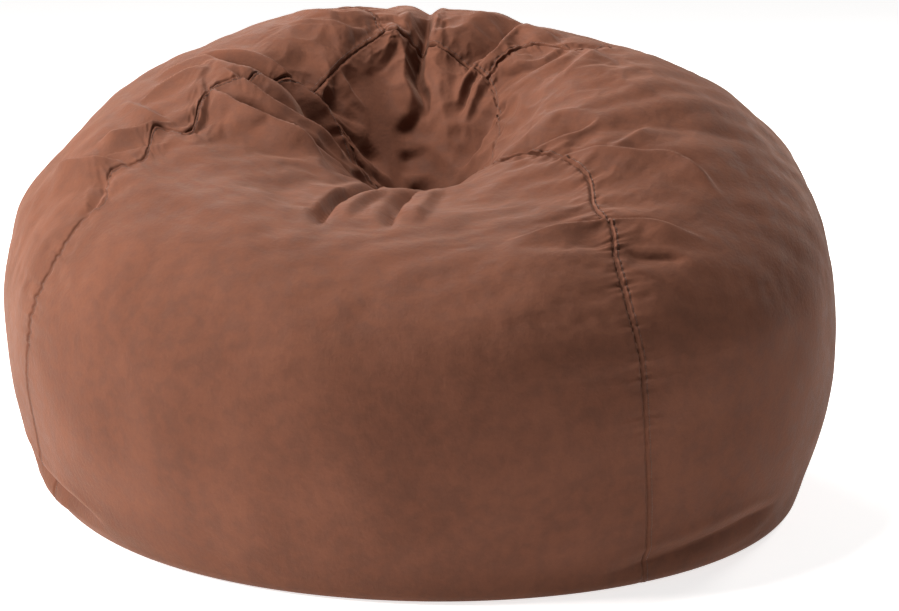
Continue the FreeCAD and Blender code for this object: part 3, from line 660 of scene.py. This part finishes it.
def cloth_weights(points, ring):
    """How firmly each point of the simulated cloth is held, and how tightly it's gathered."""
    az = np.arctan2(points[:, 0], -points[:, 1])
    upper = eased((points[:, 2] - 0.22) / 0.16)
    hold = np.maximum(1 - 0.8 * upper, eased(bed_weight(az, points[:, 2]) * 2))
    seam = np.zeros(len(points))
    columns = 4 * SIM_COLUMNS
    for k in range(4):
        for step in range(-2, 3):
            seam[ring[:, (k * SIM_COLUMNS + step) % columns]] = 1 - 0.3 * abs(step)
    seam[ring[-1]] = 1
    loose = eased((0.40 - np.hypot(points[:, 0], points[:, 1] - 0.03)) / 0.16)
    loose *= 0.6 + 0.4 * waves(points, 0.3, 8)
    level = SIM_GROWTH / (SIM_GROWTH + SIM_SEAM_SHRINK)
    return hold, np.maximum(level * (1 - np.clip(loose, 0, 1)), seam * upper)


def run_cloth(obj, hold, tight):
    """Runs the cloth simulation and returns where its points end up."""
    for name, weights in (("hold", hold), ("tight", tight)):
        group = obj.vertex_groups.new(name=name)
        steps = np.round(weights * WEIGHT_STEPS).astype(int)
        for step in np.unique(steps):
            group.add(np.flatnonzero(steps == step).tolist(), float(step / WEIGHT_STEPS), "REPLACE")
    cloth = obj.modifiers.new("cloth", "CLOTH")
    settings = cloth.settings
    for name, value in SIM_CLOTH.items():
        setattr(settings, name, value)
    settings.vertex_group_mass, settings.vertex_group_shrink = "hold", "tight"
    settings.effector_weights.gravity = 0.0
    cloth.collision_settings.use_collision = False
    cloth.collision_settings.use_self_collision = False
    scene = bpy.context.scene
    for times in (scene, cloth.point_cache):
        times.frame_start, times.frame_end = 1, SIM_FRAMES
    for frame in range(1, SIM_FRAMES + 1):
        scene.frame_set(frame)
    settled = obj.evaluated_get(bpy.context.evaluated_depsgraph_get()).data
    found = np.empty(len(hold) * 3, np.float32)
    settled.vertices.foreach_get("co", found)
    scene.frame_set(1)
    return found.reshape(-1, 3)


def settle_cloth():
    """Runs the cover as real cloth: it's a little larger than its filling above the belly and its
    seams are gathered, so it buckles into folds."""
    n = SIM_COLUMNS
    stations, share = even_stations(SIM_ROWS), np.linspace(0, 1, n + 1)
    panels = [displaced(k, share, stations, None) for k in range(4)]
    cap_grid = displaced_cap(share, share)
    ring, cap, inner = ring_and_cap_index(n, SIM_ROWS)
    sides = np.concatenate([p[:, :-1] for p in panels], 1)
    points = np.vstack([sides.reshape(-1, 3), cap_grid[inner]])
    closed = np.concatenate([ring, ring[:, :1]], 1)
    faces = np.vstack([grid_faces(closed), grid_faces(cap)[:, ::-1]])
    obj = mesh_object("settling_cloth", points, faces)
    moved = run_cloth(obj, *cloth_weights(points, ring)) - points
    bpy.data.objects.remove(obj)
    az = np.arctan2(points[:, 0], -points[:, 1])
    moved *= 1 - eased(bed_weight(az, points[:, 2]))[:, None]
    lengths = 1000 * np.linalg.norm(moved, axis=1)
    print(f"cloth moved mm: mean {lengths.mean():.2f} most {lengths.max():.2f}")
    return {
        "panels": [moved[closed[:, k * n:(k + 1) * n + 1]] for k in range(4)],
        "cap": moved[cap],
        "stations": stations,
    }


def settled_panel(panel, share, station, zipper, settled, depths=None):
    """A panel's grid with its folds and the simulation's movement."""
    grid = displaced(panel, share, station, zipper, depths)
    if settled is None:
        return grid
    rows = np.interp(station, settled["stations"], np.arange(len(settled["stations"])))
    return grid + read_grid(settled["panels"][panel], rows, share * SIM_COLUMNS)


def settled_cap(u, v, settled, depths=None):
    grid = displaced_cap(u, v, depths)
    if settled is None:
        return grid
    return grid + read_grid(settled["cap"], v * SIM_COLUMNS, u * SIM_COLUMNS)


def running_length(grid, axis):
    """Distance from a grid's first row (axis 0) or column (axis 1), measured over the cloth."""
    step = np.linalg.norm(np.diff(grid, axis=axis), axis=-1)
    return np.concatenate([np.zeros_like(np.take(step, [0], axis)), np.cumsum(step, axis)], axis)


def slow_wave(along, length, seed=0):
    return np.sin(2 * math.pi * along / length + seed)


def seam_relief(far, along, strength, topstitched, seed):
    """Heights beside a gathered seam, far from it and along it: the seam's groove, puckers that die
    away, and on one side the allowance's ridge and the topstitching's own groove."""
    phase = 2 * math.pi * along / PUCKER_PITCH + 1.4 * slow_wave(along, 0.071, seed)
    phase = phase + slow_wave(along, 0.043, 2 * seed)
    deep = 0.5 + 0.5 * np.sin(phase)
    reach = 0.010 + 0.004 * slow_wave(along, 0.09, seed)
    rise = 1 - hump(far, 0.0022)
    height = -(GROOVE_DEPTH + 0.0012 * strength + 0.0024 * strength * deep) * hump(far, 0.0028)
    patchy = 0.70 + 0.50 * slow_wave(along, 0.105, 2 * seed) * slow_wave(along, 0.17, seed)
    puckers = (PUCKER_HEIGHT, phase + 60 * far, reach), (GATHER_HEIGHT, phase / 2.3 + seed, GATHER_REACH)
    for size, place, dies in puckers:
        height = height + size * strength * patchy * np.sin(place) * np.exp(-far / dies) * rise
    if topstitched:
        groove = hump(far - ALLOWANCE_WIDTH, 0.0014)
        uneven = 0.55 + 0.45 * slow_wave(along, 0.037, seed) * slow_wave(along, 0.083)
        height = height + (0.0004 + 0.0007 * strength) * hump(far - 0.5 * ALLOWANCE_WIDTH, 0.0018)
        height = height - TOPSTITCH_DEPTH * strength * uneven * (0.25 + 0.75 * (1 - deep)) * groove
    return height


def gather_strength(height):
    """Seams are gathered hard above the belly and lie almost flat below it."""
    return 0.25 + 0.75 * eased((height - 0.22) / 0.14)


def average_edges(panels, cap, shares, cap_shares):
    """Makes directions agree where two panels meet and where panels meet the cap."""
    for k in range(4):
        following = panels[(k + 1) % 4]
        panels[k][:, -1] = following[:, 0] = unit(panels[k][:, -1] + following[:, 0])
    for k in range(4):
        top, rim = panels[k][-1], cap_edge(cap, k)
        to_top, to_rim = read_line(rim, cap_shares, shares), read_line(top, shares, cap_shares)
        top[:] = unit(top + to_top)
        rim[:] = unit(rim + to_rim)


def sew_cover(panels, cap, shares, cap_shares, stations):
    """Gives the settled cover its seams. Returns the grids and the distances that stitches use."""
    normals = [grid_normals(g) for g in panels]
    cap_normal = -grid_normals(cap)
    average_edges(normals, cap_normal, shares, cap_shares)
    sewn, measures = [], []
    for k, grid in enumerate(panels):
        across, up = running_length(grid, 1), running_length(grid, 0)
        left, right, down = across, across[:, -1:] - across, up[-1:] - up
        strength = gather_strength(grid[..., 2])
        open_hem = []
        relief = np.zeros(grid.shape[:2])
        for seam, far, along in ((k, left, up[:, :1]), ((k + 1) % 4, right, up[:, -1:])):
            gap = hem_gap(SEAM_NAMES[seam], stations, COVER_ZIPPER)[:, None] / HEMS[COVER_ZIPPER][0]
            beside = seam_relief(far, along, strength * (1 - gap), seam == k, seam)
            relief += beside * (1 - 0.8 * gap)
            open_hem.append(gap)
        relief += seam_relief(down, across[-1:], CAP_SEAM_STRENGTH, True, k + CAP_SEED)
        final = grid + normals[k] * relief[..., None]
        final[..., 2] = np.maximum(final[..., 2], 0)
        sewn.append(final)
        measures.append(dict(left=left, right=right, down=down, normal=normals[k], open=open_hem))
    across, up = running_length(cap, 1), running_length(cap, 0)
    sides = [
        (across, running_length(cap[:, 0], 0)[:, None]),
        (up[-1:] - up, running_length(cap[-1], 0)[None, :]),
        (across[:, -1:] - across, running_length(cap[::-1, -1], 0)[::-1][:, None]),
        (up, running_length(cap[0, ::-1], 0)[::-1][None, :]),
    ]
    relief = np.zeros(cap.shape[:2])
    for k, (far, along) in enumerate(sides):
        relief += seam_relief(far, along, CAP_SEAM_STRENGTH, False, k + CAP_SEED)
    return sewn, cap + cap_normal * relief[..., None], measures


def turned_in(grid, normal, open_hem):
    """Adds the cloth's turned-in edges to a panel: down into the seams, and back under the hems
    along a zipper."""
    def edge(line, inside, direction, openness):
        along = unit(inside - line)
        rows = []
        for deep, back in ((0.0005, 0.0001), (0.004, 0.0008), (0.009, 0.003)):
            down = deep * (1 - openness) + min(deep, 0.0016) * openness
            under = back * (1 - openness) + deep * openness
            rows.append(line - direction * down + along * under)
        return rows

    left = edge(grid[:, 0], grid[:, 1], normal[:, 0], open_hem[0])
    right = edge(grid[:, -1], grid[:, -2], normal[:, -1], open_hem[1])
    wide = np.concatenate([np.stack(left[::-1], 1), grid, np.stack(right, 1)], 1)
    wide_normal = np.concatenate([normal[:, :1]] * 3 + [normal] + [normal[:, -1:]] * 3, 1)
    top = edge(wide[-1], wide[-2], wide_normal[-1], np.zeros((1, 1)))
    whole = np.concatenate([wide, np.stack(top, 0)], 0)
    whole[..., 2] = np.maximum(whole[..., 2], 0)
    return whole


def cloth_piece(name, grid, flip=False):
    faces = grid_faces(np.arange(grid.shape[0] * grid.shape[1]).reshape(grid.shape[:2]))
    return mesh_object(name, grid.reshape(-1, 3), faces[:, ::-1] if flip else faces)


def base_rim(az, inset):
    """The base seam's line on the floor, or a line this far inside it."""
    edge = profile(az, 0 * az)[0] - inset
    return bulged(around(az, edge, 0 * az))


def base_disc(name, height, inset):
    """The flat base, slightly rucked, facing down."""
    rings, columns = BASE_RINGS, BASE_COLUMNS
    az = np.linspace(0, 2 * math.pi, columns, endpoint=False)
    share = np.linspace(1, 1 / rings, rings)[:, None]
    rim = base_rim(az, inset)
    x, y = rim[:, 0] * share, rim[:, 1] * share
    z = height + 0.0004 * (1 + waves(np.stack([x, y], -1), 0.12, 21)) * (share < 0.97)
    points = np.vstack([np.stack([x, y, np.maximum(z, height)], -1).reshape(-1, 3), [[0, 0, height]]])
    index = np.arange(rings * columns).reshape(rings, columns)
    index = np.concatenate([index, index[:, :1]], 1)
    fan = np.stack([index[-1, :-1], index[-1, 1:], np.full(columns, rings * columns)], -1)
    return mesh_object(name, points, np.vstack([triangles(grid_faces(index)), fan[:, ::-1]]))


def capsule(length, radius, sides=6):
    """A stitch's shape along X: points and faces (triangles)."""
    rings = [(-0.5, 0.35), (-0.42, 0.85), (0.0, 1.0), (0.42, 0.85), (0.5, 0.35)]
    angle = np.arange(sides) * 2 * math.pi / sides
    points = []
    for x, r in rings:
        points += [(x * length, r * radius * math.cos(a), r * radius * math.sin(a)) for a in angle]
    points = np.array(points)
    index = np.arange(len(points)).reshape(len(rings), sides)
    index = np.concatenate([index, index[:, :1]], 1)
    return points, triangles(grid_faces(index))


def stitched(name, lines, pitch=STITCH_PITCH, length=STITCH_LENGTH):
    """Stitches as real thread along lines, each given as (points, normals)."""
    shape, faces = capsule(length, STITCH_RADIUS)
    all_points, all_faces, made = [], [], 0
    for points, normals in lines:
        lengths = running_length(points, 0)
        at = np.arange(pitch / 2, lengths[-1] - pitch / 2, pitch)
        middle = read_line(points, lengths, at)
        ahead, behind = (read_line(points, lengths, at + end * length / 2) for end in (1, -1))
        forward = unit(ahead - behind)
        sideways = unit(np.cross(read_line(normals, lengths, at), forward))
        outward = np.cross(forward, sideways)
        frame = np.stack([forward, sideways, outward], 1)
        placed = middle[:, None] + np.einsum("pk,nkj->npj", shape, frame)
        placed = placed + outward[:, None] * STITCH_RADIUS * 0.3
        all_points.append(placed.reshape(-1, 3))
        for _ in range(len(at)):
            all_faces.append(faces + made)
            made += len(shape)
    return mesh_object(name, np.vstack(all_points), np.vstack(all_faces))


def line_beside(grid, far, distance):
    """The line on a grid at a distance from one of its edges, row by row."""
    return np.array([read_line(row, places, distance) for row, places in zip(grid, far)])


class Look:
    """A procedural material that is being put together."""

    def __init__(self, name, roughness, metallic=0.0):
        self.material = bpy.data.materials.new(name)
        self.material.use_nodes = True
        self.tree = self.material.node_tree
        self.surface = self.tree.nodes["Principled BSDF"]
        self.surface.inputs["Roughness"].default_value = roughness
        self.surface.inputs["Metallic"].default_value = metallic
        self.place = self.tree.nodes.new("ShaderNodeTexCoord").outputs["Object"]

    def give(self, socket, value):
        if isinstance(value, bpy.types.NodeSocket):
            self.tree.links.new(value, socket)
        else:
            socket.default_value = value

    def add(self, kind, output, inputs, **settings):
        """Adds a node with its settings and inputs, and returns one of its outputs."""
        node = self.tree.nodes.new("ShaderNode" + kind)
        for name, value in settings.items():
            setattr(node, name, value)
        for socket, value in inputs.items():
            self.give(node.inputs[socket], value)
        return node.outputs[output]

    def noise(self, scale, detail=2.0, distortion=0.0):
        inputs = {"Vector": self.place, "Scale": scale, "Detail": detail, "Distortion": distortion}
        return self.add("TexNoise", "Fac", inputs)

    def bands(self, scale, direction):
        inputs = {"Vector": self.place, "Scale": scale, "Distortion": 0.6}
        return self.add("TexWave", "Fac", inputs, bands_direction=direction)

    def maths(self, operation, a, b):
        return self.add("Math", 0, {0: a, 1: b}, operation=operation)

    def spread(self, value, low, high):
        """Stretches a value so that low becomes 0 and high becomes 1."""
        return self.add("MapRange", "Result", {"Value": value, "From Min": low, "From Max": high})

    def between(self, share, first, second):
        return self.add("Mix", 2, {0: share, 6: (*first, 1), 7: (*second, 1)}, data_type="RGBA")

    def colour(self, value):
        self.give(self.surface.inputs["Base Color"], value)

    def bump(self, height, distance, strength=1.0):
        """Adds fine relief on top of what there is already."""
        normal = self.surface.inputs["Normal"]
        inputs = {"Height": height, "Distance": distance, "Strength": strength}
        if normal.is_linked:
            inputs["Normal"] = normal.links[0].from_socket
        self.give(normal, self.add("Bump", "Normal", inputs))

    def sheen(self, weight, roughness, tint):
        self.give(self.surface.inputs["Sheen Weight"], weight)
        self.give(self.surface.inputs["Sheen Roughness"], roughness)
        self.give(self.surface.inputs["Sheen Tint"], (*tint, 1))


def shade(colour, factor):
    return tuple(min(1.0, c * factor) for c in colour)


def suede_look():
    """Brushed microsuede: a nap that lies this way and that, fine fibres and a soft sheen."""
    look = Look("brushed_suede", 0.92)
    brown = (0.102, 0.038, 0.0215)
    patches = look.spread(look.noise(9, 4, 0.2), 0.34, 0.66)
    strokes = look.spread(look.noise(55, 6, 0.3), 0.37, 0.63)
    grain, fibres = look.noise(280, 4), look.noise(1100, 2)
    nap = look.maths("ADD", look.maths("MULTIPLY", patches, 0.30), look.maths("MULTIPLY", strokes, 0.26))
    nap = look.maths("ADD", nap, look.maths("MULTIPLY", look.maths("ADD", grain, fibres), 0.22))
    look.colour(look.between(nap, shade(brown, 0.70), (0.145, 0.057, 0.0335)))
    look.give(look.surface.inputs["Roughness"], look.spread(strokes, -4.0, 1.6))
    look.give(look.surface.inputs["Specular IOR Level"], 0.12)
    look.sheen(0.12, 0.40, (1.0, 0.62, 0.46))
    look.bump(look.noise(170, 5, 0.3), 0.0011, 0.6)
    look.bump(fibres, 0.0004, 0.5)
    return look.material


def woven_look(name, colour, thread, roughness=0.85, depth=0.0002):
    """Plain weave: crossing threads this many metres apart."""
    look = Look(name, roughness)
    warp = look.bands(0.16 / thread, "X")
    weft = look.bands(0.16 / thread, "Z")
    cloth = look.maths("MULTIPLY", warp, weft)
    slubs = look.noise(60, 4)
    share = look.maths("MULTIPLY", cloth, slubs)
    look.colour(look.between(share, shade(colour, 0.72), shade(colour, 1.15)))
    look.bump(cloth, depth)
    look.sheen(0.2, 0.5, (1.0, 1.0, 1.0))
    return look.material


def thread_look(name, colour):
    """Twisted polyester thread."""
    look = Look(name, 0.55)
    twist = look.bands(420, "DIAGONAL")
    share = look.maths("MULTIPLY", twist, look.noise(90, 2))
    look.colour(look.between(share, shade(colour, 0.7), shade(colour, 1.35)))
    look.bump(twist, 0.0001)
    look.sheen(0.3, 0.4, (1.0, 0.8, 0.7))
    return look.material


def painted_metal_look():
    """Brown paint on die-cast zinc, rubbed through a little."""
    look = Look("painted_zinc", 0.38, 0.35)
    rubbed = look.spread(look.noise(240, 5, 0.4), 0.62, 0.74)
    look.colour(look.between(rubbed, (0.085, 0.048, 0.032), (0.35, 0.31, 0.27)))
    look.give(look.surface.inputs["Roughness"], look.spread(look.noise(500, 3), -0.8, 1.9))
    look.bump(look.noise(900, 3), 0.00005)
    return look.material


def nylon_look():
    """Slightly glossy nylon teeth."""
    look = Look("nylon_teeth", 0.4)
    look.colour(look.between(look.noise(300, 3), (0.05, 0.026, 0.018), (0.085, 0.045, 0.031)))
    look.bump(look.noise(1500, 2), 0.00004)
    return look.material


def foam_look():
    """Shredded foam: open cells in mixed pale colours."""
    look = Look("shredded_foam", 0.95)
    shreds = look.spread(look.noise(45, 3, 0.6), 0.35, 0.65)
    look.colour(look.between(shreds, (0.62, 0.52, 0.33), (0.80, 0.77, 0.66)))
    look.bump(look.noise(420, 4), 0.0012)
    return look.material


def zipper_place(azimuth, angle, height, sideways):
    """Places on a zipper's arc: height over the arc, sideways from the seam."""
    az, angle = math.radians(azimuth), np.radians(angle)
    out = np.array([math.sin(az), -math.cos(az), 0.0])
    side = np.array([math.cos(az), math.sin(az), 0.0])
    up = np.array([0.0, 0.0, 1.0])
    centre = out * (float(belly_radius(az)) - SIDE_RADIUS) + up * BELLY_HEIGHT
    reach = SIDE_RADIUS + np.asarray(height, float)
    radial = out * np.cos(angle)[..., None] + up * np.sin(angle)[..., None]
    return centre + radial * reach[..., None] + side * np.asarray(sideways, float)[..., None]


def zipper_teeth(name, side):
    """One row of moulded teeth, each a chamfered block across the chain."""
    step = math.degrees(TEETH_PITCH / SIDE_RADIUS)
    angles = np.arange(ZIPPER_BOTTOM + step, COVER_ZIPPER[1] - step / 2, step)
    half = 0.36 * TEETH_PITCH
    inner, edge = half - TEETH_CHAMFER, TEETH_HIGH - TEETH_CHAMFER
    outline = [(-half, TEETH_LOW), (half, TEETH_LOW), (half, edge), (inner, TEETH_HIGH),
               (-inner, TEETH_HIGH), (-half, edge)]
    count = len(outline)
    points, faces = [], []
    for n, angle in enumerate(angles):
        for across in (CHAIN_INNER, CHAIN_OUTER):
            for along, height in outline:
                turned = angle + math.degrees(along / SIDE_RADIUS)
                points.append(zipper_place(COVER_ZIPPER[0], np.array(turned), height, side * across))
        start = 2 * count * n
        for k in range(count):
            a, b = start + k, start + (k + 1) % count
            faces += [(a, b, b + count), (a, b + count, a + count)]
        for k in range(1, count - 1):
            far = start + count
            faces += [(start, start + k + 1, start + k), (far, far + k, far + k + 1)]
    faces = np.array(faces)
    obj = mesh_object(name, np.array(points), faces if side > 0 else faces[:, ::-1])
    obj.data.polygons.foreach_set("use_smooth", np.zeros(len(faces), bool))
    return obj


def tape_grid(zipper, depth, side):
    """A zipper's tape on one side of the teeth, rippled a little along its loose edge."""
    seam, top = zipper
    angle = np.linspace(ZIPPER_BOTTOM - TAPE_LEAD, top + TAPE_LEAD, TAPE_ROWS)[:, None]
    share = np.linspace(0, 1, TAPE_COLUMNS)[None, :]
    sideways = side * (CHAIN_INNER + (TAPE_EDGE - CHAIN_INNER) * share) + 0 * angle
    ripple = 0.00025 * share**2 * np.sin(np.radians(angle) * SIDE_RADIUS / 0.006 + side)
    return zipper_place(seam, angle + 0 * share, ripple - depth, sideways)


def make_tapes(layer, zipper, depth, cloth):
    """Both tapes of one layer's zipper."""
    for name, side in (("right", -1), ("left", 1)):
        piece = cloth_piece(f"{layer}_tape_{name}", tape_grid(zipper, depth, side), flip=side < 0)
        dress(piece, cloth, "zipper_tape", f"{layer}_zipper_tape_{name}")


def label_grid(stand_off):
    """One face of the care label, hanging from the seam under the zipper with a curled edge."""
    across, down = np.meshgrid(np.linspace(0, 1, 24), np.linspace(1, 0, 34))
    angle = ZIPPER_BOTTOM + 1 - np.degrees(LABEL_SIZE[1] * down / SIDE_RADIUS)
    curl = 0.0035 * down**4 + 0.0012 * down * np.sin(5 * across + 1) ** 2
    sideways = 2 * HEMS[COVER_ZIPPER][0] + LABEL_SIZE[0] * across
    return zipper_place(COVER_ZIPPER[0], angle, stand_off + curl, sideways)


def pointed(name, data, place, direction):
    """A camera or a light at a place, looking in a direction."""
    holder = bpy.data.objects.new(name, data)
    holder.location = place
    holder.rotation_euler = direction.to_track_quat("-Z", "Y").to_euler()
    bpy.context.scene.collection.objects.link(holder)
    return holder


def aim_camera():
    camera = bpy.data.cameras.new("camera")
    camera.lens, camera.sensor_width = CAMERA_LENS, CAMERA_SENSOR
    bpy.context.scene.camera = pointed("camera", camera, CAMERA_PLACE, Vector(CAMERA_DIRECTION))


def area_light(name, place, target, size, power, colour):
    light = bpy.data.lights.new(name, "AREA")
    light.shape = "DISK"
    light.size, light.energy, light.color = size, power, colour
    pointed(name, light, place, Vector(target) - Vector(place))


def studio():
    """A pale floor under a bright white surround, with the key light on the left."""
    look = Look("studio_floor", 0.9)
    look.colour(look.between(look.noise(3, 2), (0.90, 0.895, 0.89), (0.92, 0.915, 0.91)))
    look.give(look.surface.inputs["Emission Color"], (1.0, 1.0, 1.0, 1.0))
    look.give(look.surface.inputs["Emission Strength"], FLOOR_GLOW)
    r = FLOOR_REACH
    corners = np.array([(-r, -r, 0), (r, -r, 0), (r, r, 0), (-r, r, 0)], float)
    floor = mesh_object("studio_floor", corners, [(0, 1, 2, 3)])
    floor.location.z = FLOOR_HEIGHT
    floor.data.materials.append(look.material)
    world = bpy.data.worlds.new("studio")
    bpy.context.scene.world = world
    world.use_nodes = True
    inputs = world.node_tree.nodes["Background"].inputs
    inputs["Color"].default_value = (1.0, 0.99, 0.98, 1.0)
    inputs["Strength"].default_value = SURROUND_GLOW
    for light in LIGHTS:
        area_light(*light)
    bpy.context.scene.view_settings.view_transform = "Standard"


def dress(obj, look, slot, *nodes):
    """Gives a piece its material and its body, and hides the CAD nodes that it stands for."""
    obj.data.materials.clear()
    obj.data.materials.append(look)
    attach(obj, "bag")
    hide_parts(*nodes)
    return obj


def make_cover(settled, suede, thread):
    """The cover's panels, cap and base, and the stitches in its seams."""
    shares, cap_shares = dense_at_ends(SKIN_COLUMNS), dense_at_ends(CAP_CELLS)
    stations = even_stations(SKIN_ROWS)
    grids = [settled_panel(k, shares, stations, COVER_ZIPPER, settled) for k in range(4)]
    cap = settled_cap(cap_shares, cap_shares, settled)
    grids, cap, measures = sew_cover(grids, cap, shares, cap_shares, stations)
    for k, name in enumerate(PANEL_NAMES):
        whole = turned_in(grids[k], measures[k]["normal"], measures[k]["open"])
        piece = dress(cloth_piece(f"suede_panel_{name}", whole), suede, "suede", f"cover_panel_{name}")
    piece = dress(cloth_piece("suede_top_cap", cap, flip=True), suede, "suede", "cover_top_cap")
    piece = dress(base_disc("suede_base", BASE_LIFT, 0.0), suede, "suede", "cover_base_panel")
    for k, name in enumerate(SEAM_NAMES):
        lines = side_stitching(grids[k], measures[k], grids[k - 1], measures[k - 1])
        dress(stitched(f"stitches_{name}", lines), thread, "thread", f"seam_thread_{name}")
    lines = []
    for grid, m in zip(grids, measures):
        rows = line_beside(grid[::-1].transpose(1, 0, 2), m["down"][::-1].T, ALLOWANCE_WIDTH)
        lines.append((rows, m["normal"][-3]))
    dress(stitched("stitches_cap", lines), thread, "thread", "seam_thread_cap")
    rim = base_rim(np.linspace(0, 2 * math.pi, 400), ALLOWANCE_WIDTH)
    rim[:, 2] = BASE_LIFT / 2
    down = np.tile([0.0, 0.0, -1.0], (len(rim), 1))
    dress(stitched("stitches_base", [(rim, down)]), thread, "thread", "seam_thread_base")


def side_stitching(grid, m, other, before):
    """Lines of stitches of the seam between one panel and the one before it: topstitching on the
    first panel only, or a row on each hem along the zipper."""
    shut = m["open"][0][:, 0] < 0.02
    line = line_beside(grid, m["left"], ALLOWANCE_WIDTH)
    lines = [(line[a:b], m["normal"][a:b, 3]) for a, b in stretches(shut)]
    for a, b in stretches(~shut):
        hem = line_beside(grid, m["left"], HEM_STITCH_INSET)
        lines.append((hem[a:b], m["normal"][a:b, 2]))
        hem = line_beside(other[:, ::-1], before["right"][:, ::-1], HEM_STITCH_INSET)
        lines.append((hem[a:b], before["normal"][a:b, -3]))
    return lines


def stretches(flags):
    """(start, end) of each run of True."""
    edges = np.flatnonzero(np.diff(np.concatenate([[False], flags, [False]]).astype(int)))
    return [(a, b) for a, b in zip(edges[::2], edges[1::2]) if b - a > 4]


def lumpy(grid, normal, size, height, seed):
    """A grid with soft lumps of this size and height."""
    return grid + normal * (height * waves(grid, size, seed))[..., None]


def make_liner(settled, cloth, thread):
    """The liner, which follows the cover's settled shape."""
    share, stations = np.linspace(0, 1, LINER_COLUMNS + 1), even_stations(LINER_ROWS)
    lines = []
    for k, name in enumerate(PANEL_NAMES):
        grid = settled_panel(k, share, stations, LINER_ZIPPER, settled, LINER_DEPTHS)
        grid = lumpy(grid, grid_normals(grid), *LINER_LUMPS)
        piece = cloth_piece(f"liner_cloth_{name}", grid)
        dress(piece, cloth, "liner_cloth", f"liner_panel_{name}")
        width, length, area = PANEL_CUTS[name]
        area *= LINER_SHARE
        shut = hem_gap(SEAM_NAMES[k], stations, LINER_ZIPPER) < 0.0001
        for a, b in stretches(shut):
            lines.append((grid[a:b, 0], grid_normals(grid)[a:b, 0]))
    share = np.linspace(0, 1, LINER_CAP + 1)
    grid = settled_cap(share, share, settled, LINER_DEPTHS)
    for side in range(4):
        lines.append((cap_edge(grid, side), cap_edge(top_normals(grid), side)))
    piece = dress(cloth_piece("liner_cloth_cap", grid, flip=True), cloth, "liner_cloth", "liner_top_cap")
    stitches = stitched("liner_stitches", lines, LINER_STITCH_PITCH, LINER_STITCH_LENGTH)
    dress(stitches, thread, "liner_thread", "liner_seam_threads")
    piece = base_disc("liner_cloth_base", *LINER_BASE)
    dress(piece, cloth, "liner_cloth", "liner_base_panel")


def make_foam(settled, foam):
    """The filling, as one closed lumpy body."""
    share, stations = np.linspace(0, 1, FOAM_COLUMNS + 1), even_stations(FOAM_ROWS)
    parts = []
    for k in range(4):
        grid = settled_panel(k, share, stations, None, settled, FOAM_DEPTHS)
        grid = lumpy(grid, grid_normals(grid), *FOAM_LUMPS)
        parts.append(cloth_piece(f"foam_{k}", grid))
    grid = settled_cap(share, share, settled, FOAM_DEPTHS)
    parts.append(cloth_piece("foam_4", lumpy(grid, -grid_normals(grid), *FOAM_LUMPS), flip=True))
    parts.append(base_disc("foam_5", *FOAM_BASE))
    whole = join(parts[0], parts[1:])
    whole.name = "shredded_foam"
    dress(whole, foam, "foam", "foam_fill")


def join(obj, others):
    bpy.ops.object.select_all(action="DESELECT")
    for o in [obj, *others]:
        o.select_set(True)
    bpy.context.view_layer.objects.active = obj
    bpy.ops.object.join()
    return obj


def make_zipper_and_label(nylon, label_cloth):
    for name, side in (("right", -1), ("left", 1)):
        dress(zipper_teeth(f"teeth_{name}", side), nylon, "zipper_nylon", f"cover_zipper_teeth_{name}")
    front, back = label_grid(0.0014), label_grid(0.0010)
    outer, inner = cloth_piece("label_face", front), cloth_piece("label_back", back, flip=True)
    label = join(outer, [inner])
    label.name = "woven_label"
    dress(label, label_cloth, "label", "care_label")


def finish_cad_nodes(nodes, looks):
    """Procedural materials for the CAD nodes that are shown as they are."""
    for name, obj in nodes.items():
        if obj.hide_render:
            continue
        for part, look in looks:
            if part in name:
                obj.data.materials.clear()
                obj.data.materials.append(look)
                break
        else:
            raise RuntimeError(f"no material for {name}")


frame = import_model()
suede, metal, nylon = suede_look(), painted_metal_look(), nylon_look()
thread = thread_look("brown_thread", (0.060, 0.026, 0.017))
liner_thread = thread_look("pale_thread", (0.66, 0.64, 0.60))
liner_cloth = woven_look("liner_polycotton", (0.62, 0.60, 0.55), 0.0006)
tape = woven_look("zipper_tape", (0.085, 0.040, 0.026), 0.0008)
label_cloth = woven_look("label_satin", (0.64, 0.62, 0.58), 0.0003, 0.45, 0.00005)
foam = foam_look()
settled = settle_cloth()
make_cover(settled, suede, thread)
make_liner(settled, liner_cloth, liner_thread)
make_foam(settled, foam)
make_zipper_and_label(nylon, label_cloth)
make_tapes("cover", COVER_ZIPPER, COVER_TAPE_DEPTH, tape)
make_tapes("liner", LINER_ZIPPER, LINER_TAPE_DEPTH, tape)
finish_cad_nodes(frame["nodes"], [("zipper_teeth", nylon), ("zipper_", metal)])
aim_camera()
studio()
